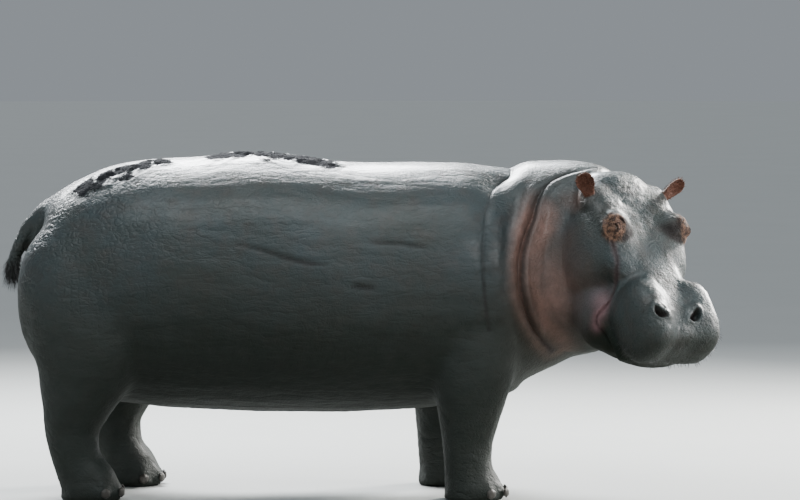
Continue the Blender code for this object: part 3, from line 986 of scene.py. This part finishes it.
skin_mesh.materials.clear()
masks = skin_masks(points_of(skin_mesh), normals_of(skin_mesh))
for name, values in masks.items():
    mask_attribute(skin_mesh, name, values)
skin_mesh.shade_smooth()
skin = new_piece("skin", skin_mesh)
print("masks:", ", ".join(masks))

# %% [markdown]
# ## Shader arithmetic
# Materials are long sums over noises and masks. Written as nodes they would be hard to read, so a
# small class wraps a socket: plus, minus and times on it add the Math nodes, and one method adds
# any other node.

# %% A socket that does arithmetic
class Wire:
    """One output socket of a node tree."""

    def __init__(self, tree, socket=None):
        self.tree = tree
        self.socket = socket

    def node(self, kind, settings=None, sockets=None, output=0):
        """Adds a node: its settings come first, then values or links for its sockets."""
        made = self.tree.nodes.new(kind)
        for name, value in (settings or {}).items():
            if name == "stops":
                fill_ramp(made.color_ramp, value)
            else:
                setattr(made, name, value)
        for name, value in (sockets or {}).items():
            if isinstance(value, Wire):
                self.tree.links.new(value.socket, made.inputs[name])
            else:
                made.inputs[name].default_value = value
        return Wire(self.tree, made.outputs[output])

    def maths(self, operation, *values, clamp=False):
        settings = {"operation": operation, "use_clamp": clamp}
        return self.node("ShaderNodeMath", settings, dict(enumerate(values)))

    def __add__(self, other):
        return self.maths("ADD", self, other)

    __radd__ = __add__

    def __sub__(self, other):
        return self.maths("SUBTRACT", self, other)

    def __rsub__(self, other):
        return self.maths("SUBTRACT", other, self)

    def __mul__(self, other):
        return self.maths("MULTIPLY", self, other)

    __rmul__ = __mul__

    def __pow__(self, other):
        return self.maths("POWER", self, other)

    def __abs__(self):
        return self.maths("ABSOLUTE", self)

    def clamped(self):
        return self.maths("ADD", self, 0.0, clamp=True)


def fill_ramp(ramp, stops):
    while len(ramp.elements) < len(stops):
        ramp.elements.new(0.5)
    for element, (place, value) in zip(ramp.elements, stops):
        element.position = place
        element.color = (value, value, value, 1.0) if isinstance(value, float) else (*value, 1.0)


print("sockets can be added, taken away and multiplied")

# %% A finish
class Finish:
    """A material and the wires that feed its Principled shader."""

    def __init__(self, name, **constants):
        self.material = bpy.data.materials.new(name)
        self.material.use_nodes = True
        self.tree = self.material.node_tree
        self.wire = Wire(self.tree)
        self.shader = self.tree.nodes["Principled BSDF"]
        for socket, value in constants.items():
            self.shader.inputs[socket.replace("_", " ")].default_value = value
        self.place = self.wire.node("ShaderNodeTexCoord", output="Object")

    def feed(self, socket, wire):
        self.tree.links.new(wire.socket, self.shader.inputs[socket])

    def mask(self, name):
        return self.wire.node("ShaderNodeAttribute", {"attribute_name": name}, output="Fac")

    def stretched(self, scale, place=None):
        sockets = {"Vector": place or self.place, "Scale": scale}
        return self.wire.node("ShaderNodeMapping", None, sockets)

    def noise(self, size, detail=3.0, rough=0.55, vector=None):
        """Noise from 0 to 1 whose patches are about size across."""
        sockets = {"Vector": vector or self.place, "Scale": 1.0 / size}
        sockets |= {"Detail": detail, "Roughness": rough}
        return self.wire.node("ShaderNodeTexNoise", None, sockets)

    def cells(self, size, feature="F1", vector=None):
        sockets = {"Vector": vector or self.place, "Scale": 1.0 / size}
        return self.wire.node("ShaderNodeTexVoronoi", {"feature": feature}, sockets)

    def ramp(self, value, *stops):
        return self.wire.node("ShaderNodeValToRGB", {"stops": stops}, {"Fac": value})

    def blend(self, share, first, second):
        """First colour where share is 0, second where it is 1."""
        first, second = (c if isinstance(c, Wire) else (*c, 1.0) for c in (first, second))
        sockets = {0: share, 6: first, 7: second}
        return self.wire.node("ShaderNodeMix", {"data_type": "RGBA"}, sockets, output=2)

    def bump(self, height, distance, strength=1.0):
        sockets = {"Height": height, "Distance": distance, "Strength": strength}
        return self.wire.node("ShaderNodeBump", None, sockets)


print("shader helpers are ready")

# %% [markdown]
# ## Wet skin
# The skin is bare, thick and wet. Its colour wanders between blue slate and olive, with pink-brown,
# mauve and brown where the masks say so, and painted shade darkens it towards the belly, on the
# undersides and in creases. A clear wet film lies over it. Colours could be painted on a flat map
# of the skin, but noises and masks stay sharp close up.

# %% Colour of the skin
SLATE = (0.036, 0.054, 0.059)
OLIVE = (0.032, 0.041, 0.037)
# painted shade low down, on undersides and in the whisker pits
PAINTED_SHADE = (0.008, 0.012, 0.007)
PINK_BROWN = (0.330, 0.185, 0.150)
DEEP_BROWN = (0.075, 0.040, 0.028)
MAUVE = (0.290, 0.155, 0.165)
# painted shade in the bottoms of folds and creases
FOLD_SHADE = (0.012, 0.006, 0.005)
hide = Finish("wet_skin", Coat_Roughness=0.26, Coat_IOR=1.33, Specular_IOR_Level=0.5)
patches = hide.noise(0.06, 4.0)
wander = hide.ramp(hide.noise(0.35, 4.0), (0.35, 0.0), (0.65, 1.0))
base = hide.blend(wander, SLATE, OLIVE)
# painted shade on faces that look down and under the chin
base = hide.blend(hide.mask("under") * 0.85, base, PAINTED_SHADE)
base = hide.blend(((patches - 0.5) * 0.9 + 0.06).clamped(), base, DEEP_BROWN)
pink_share = (hide.mask("pink") * (0.80 + 0.7 * hide.noise(0.022, 3.0))).clamped()
base = hide.blend(pink_share, base, hide.blend(patches, PINK_BROWN, DEEP_BROWN))
base = hide.blend(hide.mask("mauve") * 0.9, base, MAUVE)
print("trunk, folds and mouth are coloured")

# %% Lids, ears, and painted shade in pits, creases and low down
LID_BROWN = (0.300, 0.160, 0.100)
LID_DARK = (0.045, 0.022, 0.014)
EAR_BROWN = (0.180, 0.085, 0.050)
EAR_INSIDE = (0.105, 0.034, 0.018)
speckle = hide.ramp(hide.noise(0.016, 4.0, 0.7), (0.42, 0.0), (0.62, 1.0))
base = hide.blend(hide.mask("lids"), base, hide.blend(speckle, LID_DARK, LID_BROWN))
ear_tone = hide.blend(hide.noise(0.03), EAR_BROWN, DEEP_BROWN)
ear_tone = hide.blend(hide.mask("cup") * 0.8, ear_tone, EAR_INSIDE)
base = hide.blend(hide.mask("ears"), base, ear_tone)
pits = hide.ramp(hide.cells(0.020), (0.10, 1.0), (0.20, 0.0)) * hide.mask("muzzle")
# painted shade in the whisker pits
base = hide.blend(pits * 0.6, base, PAINTED_SHADE)
# painted shade towards the belly and the bottom of the head
base = hide.blend(hide.mask("shade") * 0.88, base, PAINTED_SHADE)
# painted shade in folds, creases, nostrils and the lid slit
base = hide.blend(hide.mask("dark") * 0.92, base, FOLD_SHADE)
hide.feed("Base Color", base)
print("lids, ears and muzzle are coloured")

# %% Where the wet film is thin
mud_noise = (hide.noise(0.03, 5.0) - 0.5) * 0.8 + (hide.noise(0.009, 3.0) - 0.5) * 0.7
caked = hide.ramp(hide.mask("mud") + mud_noise, (0.42, 0.0), (0.60, 1.0))
film = hide.noise(0.05, 4.0)
dry = caked + hide.mask("dark")
for name, share in (("under", 0.8), ("lids", 0.7), ("ears", 0.5), ("shade", 0.5)):
    dry = dry + share * hide.mask(name)
dry = dry.clamped()
hide.feed("Roughness", (0.34 + 0.22 * film + 0.40 * dry).clamped())
hide.feed("Coat Weight", (0.60 - 0.80 * dry - 0.25 * film).clamped())
print("the film is thin on mud, folds, belly, lids and ears")

# %% [markdown]
# ## Wrinkles
# The wrinkles are of three sizes: broad crossing folds, a net of fine creases, and pores. On the
# trunk they run along the body, so that pattern is stretched that way, and a second noise swirls
# it. Wrinkles this shallow would need millions of faces, so a bump raises them in the light only.

# %% Patterns of the wrinkles
SWIRL = 0.016
swirl_sockets = {0: hide.noise(0.03, 2.0), "Scale": SWIRL}
swirl = hide.wire.node("ShaderNodeVectorMath", {"operation": "SCALE"}, swirl_sockets)
swirled = hide.wire.node("ShaderNodeVectorMath", {"operation": "ADD"}, {0: hide.place, 1: swirl})
lengthwise = hide.stretched((0.30, 1.0, 1.0), swirled)


def ridged(size, detail, place):
    """Thin creases between soft swellings, from 0 in a crease to 1."""
    return abs(hide.noise(size, detail, 0.5, place) * 2.0 - 1.0) ** 0.5


def net(size, width, place=None):
    """Small plates parted by a net of creases."""
    return hide.ramp(hide.cells(size, "DISTANCE_TO_EDGE", place), (0.0, 0.0), (width, 1.0))


broad = ridged(0.090, 2.0, lengthwise)
middle = ridged(0.034, 3.0, lengthwise)
fine_creases = ridged(0.016, 2.0, swirled)
pores = hide.noise(0.005, 3.0, 0.6)
print("broad, middle and fine wrinkles and pores are ready")

# %% Relief of the skin
RELIEF_HEIGHT = 0.013
trunk = hide.mask("trunk")
cracked = hide.mask("crackle") * hide.ramp(hide.noise(0.10), (0.40, 0.06), (0.60, 0.30))
warts = hide.ramp(hide.cells(0.012), (0.0, 0.0), (0.5, 1.0))
relief = trunk * (0.50 * broad + 0.32 * middle) + (0.34 - 0.20 * trunk) * fine_creases
relief = relief + 0.14 * pores + cracked * net(0.026, 0.22, swirled) - 0.3 * pits
relief = relief + hide.mask("muzzle") * (0.25 * hide.noise(0.011, 3.0, 0.6) + 0.10 * warts)
relief = relief + hide.mask("lids") * net(0.007, 0.3) * 0.35
relief = relief + caked * (hide.noise(0.012, 5.0) * 0.9 + 0.3)
bumps = hide.bump(relief, RELIEF_HEIGHT, 0.8)
hide.feed("Normal", bumps)
print("relief:", RELIEF_HEIGHT * 1000, "mm from lowest to highest")

# %% [markdown]
# ## Dried mud and matt skin
# Mud on the back dries to a dull crust, and the skin under the chin is dull too. A coat of water
# can be thinned by a mask, but the skin's own shine can't, so a second shader without shine is
# mixed in where the masks say so.

# %% Mix in the dull shader
MUD = (0.007, 0.007, 0.009)
MUD_PALE = (0.048, 0.050, 0.055)
dull_colour = hide.blend(caked, base, hide.blend(hide.noise(0.02, 4.0), MUD, MUD_PALE))
dull_sockets = {"Base Color": dull_colour, "Roughness": 1.0, "Normal": bumps}
dull_sockets["Specular IOR Level"] = 0.1
dull = hide.wire.node("ShaderNodeBsdfPrincipled", None, dull_sockets)
dull_share = (caked + hide.mask("matt")).clamped()
shaders = {0: dull_share, 1: Wire(hide.tree, hide.shader.outputs[0]), 2: dull}
mixed = hide.wire.node("ShaderNodeMixShader", None, shaders)
hide.tree.links.new(mixed.socket, hide.tree.nodes["Material Output"].inputs["Surface"])
print("skin material:", len(hide.tree.nodes), "nodes")

# %% Put the skin in place of the flesh
skin.data.materials.append(hide.material)
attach(skin, "root")
flesh_nodes = [name for name in frame["nodes"] if not name.startswith(("eye_", "nail_"))]
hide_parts(*flesh_nodes)
print("skin replaces", len(flesh_nodes), "nodes")

# %% [markdown]
# ## Bristles
# A hippopotamus has almost no hair: a few stiff whiskers on the lips, a short fringe on the ears
# and a black brush on the end of its tail. Each bristle is a thin four-sided cone. Three numbers on
# every point of the skin say how many stand there, how long they are and which way they lean, and
# a small tree of nodes scatters and turns the cones by them.

# %% Where bristles grow
WHISKER_LENGTH = 0.022
FRINGE_LENGTH = 0.013
BRUSH_LENGTH = 0.062
roots_mesh = skin_mesh.copy()
points = points_of(skin_mesh)
body = in_body(points)
face = mirrored(on_muzzle(in_head(points)))
brush = step(body[:, 0], -1.57, -1.60) * step(body[:, 2], 1.02, 0.93)
brush *= step(np.abs(body[:, 1]), 0.065, 0.050)
fringe = 0.5 * step(ear_share, 0.5, 0.9)
whiskers = 0.050 * step(face[:, 0], 0.50, 0.60) * step(np.abs(nostril_slit(face)), 1.6, 2.0)
whiskers *= step(face[:, 2], 0.03, -0.03) * step(face[:, 2], -0.27, -0.22)
mask_attribute(roots_mesh, "bristles", np.maximum.reduce([brush, fringe, whiskers]))
print("points with bristles:", np.count_nonzero(brush + fringe + whiskers))

# %% How long they are and which way they lean
BRUSH_LEAN = (0.0, 0.0, -1.9)
WHISKER_LEAN = (0.0, 0.0, -0.45)
on_fringe = fringe > whiskers
lengths = brush * BRUSH_LENGTH + (1 - brush) * on_fringe * FRINGE_LENGTH
mask_attribute(roots_mesh, "bristle_length", np.where(lengths > 0.001, lengths, WHISKER_LENGTH))
ear_leans = [HEAD_AXES @ EAR_POSES[side][1] for side in SIDES]
lean = on_fringe[:, None] * np.where(in_head(points)[:, 1:2] < 0, *ear_leans)
lean += brush[:, None] * BRUSH_LEAN + ((1 - brush) * ~on_fringe)[:, None] * WHISKER_LEAN
roots_mesh.attributes.new("lean", "FLOAT_VECTOR", "POINT").data.foreach_set("vector", lean.ravel())
print("longest bristle:", BRUSH_LENGTH * 1000, "mm")

# %% Bristle tree
BRISTLE_INPUTS = {
    "Density": "Float",
    "Radius": "Float",
    "Sides": "Int",
    "Seed": "Int",
    "Material": "Material",
}
TURN_SEED = 3
LENGTH_SEED = 5
JITTER = 0.4
SHORTEST = 0.6
LONGEST = 1.15


def bristle_tree():
    tree = bpy.data.node_groups.new("bristle_tree", "GeometryNodeTree")
    for way in ("INPUT", "OUTPUT"):
        tree.interface.new_socket("Geometry", in_out=way, socket_type="NodeSocketGeometry")
    for name, kind in BRISTLE_INPUTS.items():
        tree.interface.new_socket(name, in_out="INPUT", socket_type="NodeSocket" + kind)
    wire = Wire(tree)
    inputs = tree.nodes.new("NodeGroupInput").outputs
    given = {name: Wire(tree, inputs[name]) for name in ("Geometry", *BRISTLE_INPUTS)}

    def named(kind, name):
        return wire.node("GeometryNodeInputNamedAttribute", {"data_type": kind}, {"Name": name})

    def random(kind, limits, seed, output=0):
        """A random value for each root, between the limits that two sockets are given."""
        sockets = {**limits, "Seed": seed}
        return wire.node("FunctionNodeRandomValue", {"data_type": kind}, sockets, output)

    def plus(first, second):
        return wire.node("ShaderNodeVectorMath", {"operation": "ADD"}, {0: first, 1: second})

    # roots scattered over the skin, which remember where they stand
    density = named("FLOAT", "bristles") * given["Density"]
    spread = {"Mesh": given["Geometry"], "Density": density, "Seed": given["Seed"]}
    roots = wire.node("GeometryNodeDistributePointsOnFaces", None, spread)
    normal = Wire(tree, roots.socket.node.outputs["Normal"])
    place = wire.node("GeometryNodeInputPosition")
    for name, value in (("root", place), ("root_way", normal)):
        sockets = {"Geometry": roots, "Name": name, "Value": value}
        roots = wire.node("GeometryNodeStoreNamedAttribute", {"data_type": "FLOAT_VECTOR"}, sockets)

    # one cone on each root, leaning and as long as the skin says there
    jitter = random("FLOAT_VECTOR", {0: (-JITTER,) * 3, 1: (JITTER,) * 3}, TURN_SEED)
    way = plus(plus(normal, named("FLOAT_VECTOR", "lean")), jitter)
    turn = wire.node("FunctionNodeAlignRotationToVector", {"axis": "Z"}, {"Vector": way})
    share = random("FLOAT", {2: SHORTEST, 3: LONGEST}, LENGTH_SEED, 1)
    length = named("FLOAT", "bristle_length") * share
    stretch = wire.node("ShaderNodeCombineXYZ", None, {"X": 1.0, "Y": 1.0, "Z": length})
    cone_sizes = {"Vertices": given["Sides"], "Radius Bottom": given["Radius"]}
    cone_sizes |= {"Radius Top": 0.0, "Depth": 1.0}
    cone = wire.node("GeometryNodeMeshCone", {"fill_type": "NGON"}, cone_sizes)
    stands = {"Points": roots, "Instance": cone, "Rotation": turn, "Scale": stretch}
    made = wire.node("GeometryNodeInstanceOnPoints", None, stands)
    made = wire.node("GeometryNodeRealizeInstances", None, {"Geometry": made})
    finish = {"Geometry": made, "Material": given["Material"]}
    made = wire.node("GeometryNodeSetMaterial", None, finish)
    tree.links.new(made.socket, tree.nodes.new("NodeGroupOutput").inputs["Geometry"])
    return tree


print("the bristle tree takes", ", ".join(BRISTLE_INPUTS))

# %% Bristle material
BRISTLE_BLACK = (0.006, 0.006, 0.006)
BRISTLE_BROWN = (0.020, 0.016, 0.013)
FRINGE_BROWN = (0.110, 0.045, 0.025)
bristle_finish = Finish("bristle", Roughness=0.45)
hair_tone = bristle_finish.blend(bristle_finish.noise(0.004), BRISTLE_BLACK, BRISTLE_BROWN)
hair_tone = bristle_finish.blend(bristle_finish.mask("ears"), hair_tone, FRINGE_BROWN)
bristle_finish.feed("Base Color", hair_tone)
print("bristles are black, and brown on the ears")

# %% Grow the bristles
BRISTLES_PER_SQUARE_METRE = 42000.0
BRISTLE_RADIUS = 0.0009
BRISTLE_SIDES = 4
BRISTLE_SEED = 11
roots_thing = new_piece("roots", roots_mesh)
grow = roots_thing.modifiers.new("grow", "NODES")
grow.node_group = bristle_tree()
wanted = {
    "Density": BRISTLES_PER_SQUARE_METRE,
    "Radius": BRISTLE_RADIUS,
    "Sides": BRISTLE_SIDES,
    "Seed": BRISTLE_SEED,
    "Material": bristle_finish.material,
}
for item in grow.node_group.interface.items_tree:
    if item.name in wanted:
        grow[item.identifier] = wanted[item.name]
bristle_mesh = applied(roots_thing)
print("bristles:", triangles_in(bristle_mesh), "triangles")

# %% [markdown]
# ## A map of the bristles' roots
# A bake needs to know where on the skin each bristle stands. So the skin is unwrapped into six
# charts, one for each of the ways that it may face, and each bristle becomes a tiny patch at its
# root's place on that map.

# %% Map the roots
MAP_PATCH = 0.0015
MAP_MARGIN = 0.02


def unwrapped(points, ways):
    """Places on a map with one chart for each of the six ways that the skin may face."""
    axis = np.abs(ways).argmax(axis=1)
    rows = np.arange(len(points))
    cell = np.column_stack([axis, np.where(ways[rows, axis] > 0, 1, 0)])
    low = points_of(skin_mesh).min(axis=0)
    share = (points - low) / (points_of(skin_mesh).max(axis=0) - low)
    inside = np.column_stack([share[rows, (axis + 1) % 3], share[rows, (axis + 2) % 3]])
    return (cell + MAP_MARGIN + inside * (1 - 2 * MAP_MARGIN)) / (3, 2)


roots = vectors_in(bristle_mesh.attributes["root"].data, "vector")
root_ways = vectors_in(bristle_mesh.attributes["root_way"].data, "vector")
spots = unwrapped(roots, root_ways)
corner = np.empty(len(bristle_mesh.loops), int)
bristle_mesh.loops.foreach_get("vertex_index", corner)
from_root = (points_of(bristle_mesh) - roots)[:, :2]
spots += np.clip(from_root / WHISKER_LENGTH, -1, 1) * MAP_PATCH
bristle_mesh.uv_layers.new(name="OFBake").data.foreach_set("uv", spots[corner].ravel())
for layer in ("root", "root_way", "lean", "bristles", "bristle_length"):
    bristle_mesh.attributes.remove(bristle_mesh.attributes[layer])
bristles = new_piece("bristle_coat", bristle_mesh)
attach(bristles, "root")
print("mapped:", len(spots), "points")

# %% [markdown]
# ## Eyes
# An eyeball is a white ball with a brown iris, a dark pupil and a clear bulge over them. Only a slit
# of it shows, so a smooth ball whose colour follows the distance from the eye's axis is enough. It
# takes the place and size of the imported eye.

# %% Eyeballs
EYE_SEGMENTS = 48
EYE_RINGS = 32
EYE_REACH = 1.2
eye_finish = Finish("eye", Roughness=0.18, Coat_Weight=0.5, Coat_Roughness=0.08)
eye_colour = eye_finish.ramp(
    eye_finish.mask("off_axis"),
    (0.0, (0.003, 0.002, 0.002)),
    (0.28, (0.004, 0.003, 0.002)),
    (0.34, (0.060, 0.030, 0.014)),
    (0.62, (0.045, 0.022, 0.012)),
    (0.70, (0.110, 0.070, 0.060)),
)
eye_finish.feed("Base Color", eye_colour)
for name, side in SIDES.items():
    node = "eye_" + name
    low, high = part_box(node)
    centre = middle_of(node)
    radius = max(high - low) / 2
    form = bmesh.new()
    ball = {"u_segments": EYE_SEGMENTS, "v_segments": EYE_RINGS, "radius": radius}
    bmesh.ops.create_uvsphere(form, matrix=Matrix.Translation(centre), **ball)
    mesh = mesh_from(form, node)
    way = (EYE_WAY * (1, side, 1)) @ HEAD_AXES.T
    turned = (points_of(mesh) - np.array(centre)) / radius @ way
    mask_attribute(mesh, "off_axis", np.arccos(np.clip(turned, -1, 1)) / EYE_REACH)
    mesh.shade_smooth()
    mesh.materials.append(eye_finish.material)
    eyeball = new_piece("eyeball_" + name, mesh)
    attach(eyeball, "root")
    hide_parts(node)
print("eyeballs:", round(radius * 2000, 1), "mm across")

# %% [markdown]
# ## Toenails
# Each of the four toes of a foot ends in a short blunt nail, a thick shield that grows out of the
# skin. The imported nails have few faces, so each is remade as a smooth shield in the same box: the
# packed one is remeshed finely and eased.

# %% Nails
NAIL_VOXEL = 0.0022
NAIL_ROUNDS = 10
NAIL_PALE = (0.070, 0.062, 0.052)
NAIL_DARK = (0.028, 0.024, 0.020)
nail_finish = Finish("toenail", Specular_IOR_Level=0.5)
grain = nail_finish.noise(0.006, 3.0, 0.5, nail_finish.stretched((1.0, 1.0, 0.2)))
nail_finish.feed("Base Color", nail_finish.blend(grain, NAIL_PALE, NAIL_DARK))
nail_finish.feed("Roughness", 0.38 + 0.2 * grain)
nail_finish.feed("Normal", nail_finish.bump(grain, 0.0012))
for name, node in frame["nodes"].items():
    if name.startswith("nail_"):
        mesh = remeshed(node.data.copy(), NAIL_VOXEL)
        set_points(mesh, eased(points_of(mesh), edges_of(mesh), NAIL_ROUNDS))
        mesh.shade_smooth()
        mesh.materials.clear()
        mesh.materials.append(nail_finish.material)
        nail = new_piece("toe" + name, mesh)
        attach(nail, "root")
        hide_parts(name)
print("last nail:", triangles_in(mesh), "triangles")

# %% [markdown]
# ## Floor
# The animal stands on a plain pale floor that reaches to the horizon on every side, so that no
# edge of it shows from any angle. It is stage, not part of the model.

# %% Make the floor
FLOOR_RADIUS = 60.0
FLOOR_SIDES = 96
FLOOR_TONES = ((0.37, 0.38, 0.37), (0.40, 0.41, 0.40))
form = bmesh.new()
bmesh.ops.create_circle(form, cap_ends=True, segments=FLOOR_SIDES, radius=FLOOR_RADIUS)
floor = new_piece("floor", mesh_from(form, "floor"))
floor_finish = Finish("pale_floor", Roughness=0.85)
floor_finish.feed("Base Color", floor_finish.blend(floor_finish.noise(0.8, 2.0), *FLOOR_TONES))
floor.data.materials.append(floor_finish.material)
print("floor is", 2 * FLOOR_RADIUS, "m wide")

# %% [markdown]
# ## Light
# Light from high behind draws a bright wet line along the back, so the largest soft lamp hangs
# there. Weaker ones stand at the head's side, above and in front. A soft low sun lights the floor
# evenly as far as the horizon, where it meets a sky of about its own brightness.

# %% Lamps
def aimed(name, data, way, place=(0.0, 0.0, 0.0)):
    """An object that looks the given way: a lamp shines along it, a camera looks along it."""
    thing = bpy.data.objects.new(name, data)
    thing.location = place
    thing.rotation_euler = Vector(way).to_track_quat("-Z", "Y").to_euler()
    bpy.context.scene.collection.objects.link(thing)
    return thing


def soft_lamp(name, place, target, size, power, colour=(1.0, 1.0, 1.0)):
    lamp = bpy.data.lights.new(name, "AREA")
    lamp.shape = "RECTANGLE"
    lamp.size, lamp.size_y = size
    lamp.energy = power
    lamp.color = colour
    aimed(name, lamp, Vector(target) - Vector(place), place).visible_camera = False


BLUISH = (0.96, 0.98, 1.0)
WARM = (1.0, 0.98, 0.94)
SKY_BLUE = (0.90, 0.98, 1.0)
soft_lamp("high_back", (-1.5, 4.2, 4.4), (-1.1, 0.0, 1.2), (3.8, 1.6), 1400.0, BLUISH)
soft_lamp("rim_right", (4.2, 3.6, 2.9), (1.1, -0.2, 1.0), (1.2, 2.0), 760.0, WARM)
soft_lamp("muzzle_side", (4.6, -0.3, 1.9), (1.3, -0.5, 0.9), (0.8, 1.4), 160.0)
soft_lamp("overhead", (-0.6, -3.2, 6.8), (0.0, 0.0, 1.0), (5.0, 3.0), 225.0, SKY_BLUE)
soft_lamp("front_right", (3.4, -6.0, 3.4), (1.1, -0.4, 1.15), (2.2, 1.6), 100.0)
print("soft lamps:", len(bpy.data.lights))

# %% Sun and sky
SUN_WAY = (0.2, -0.75, -0.62)
SUN_ANGLE = math.radians(25)
SUN_STRENGTH = 1.55
SKY_STRENGTH = 0.34
sun = bpy.data.lights.new("low_sun", "SUN")
sun.energy = SUN_STRENGTH
sun.color = (0.88, 0.95, 1.0)
sun.angle = SUN_ANGLE
aimed("low_sun", sun, SUN_WAY)
world = bpy.data.worlds.new("studio")
world.use_nodes = True
sky = world.node_tree.nodes["Background"].inputs
sky["Color"].default_value = (0.80, 0.87, 0.95, 1.0)
sky["Strength"].default_value = SKY_STRENGTH
bpy.context.scene.world = world
bpy.context.scene.view_settings.view_transform = "AgX"
print("sun:", SUN_STRENGTH, "sky:", SKY_STRENGTH)

# %% [markdown]
# ## Camera
# The camera stands far off on the animal's right, a little above the middle of its body, with a
# long lens, so that the near and the far legs keep nearly the same size.

# %% Set the camera
CAMERA_RISE = math.radians(3.5)
CAMERA_DISTANCE = 18.67
LOOK_HEIGHT = 1.02
camera = bpy.data.cameras.new("camera")
camera.lens = 200.0
camera.sensor_width = 36.0
look = Vector((body_origin.x, body_origin.y, LOOK_HEIGHT))
reach = Vector((0.0, -math.cos(CAMERA_RISE), math.sin(CAMERA_RISE))) * CAMERA_DISTANCE
camera_thing = aimed("camera", camera, -reach, look + reach)
bpy.context.scene.camera = camera_thing
print("camera stands at", [round(v, 2) for v in camera_thing.location])
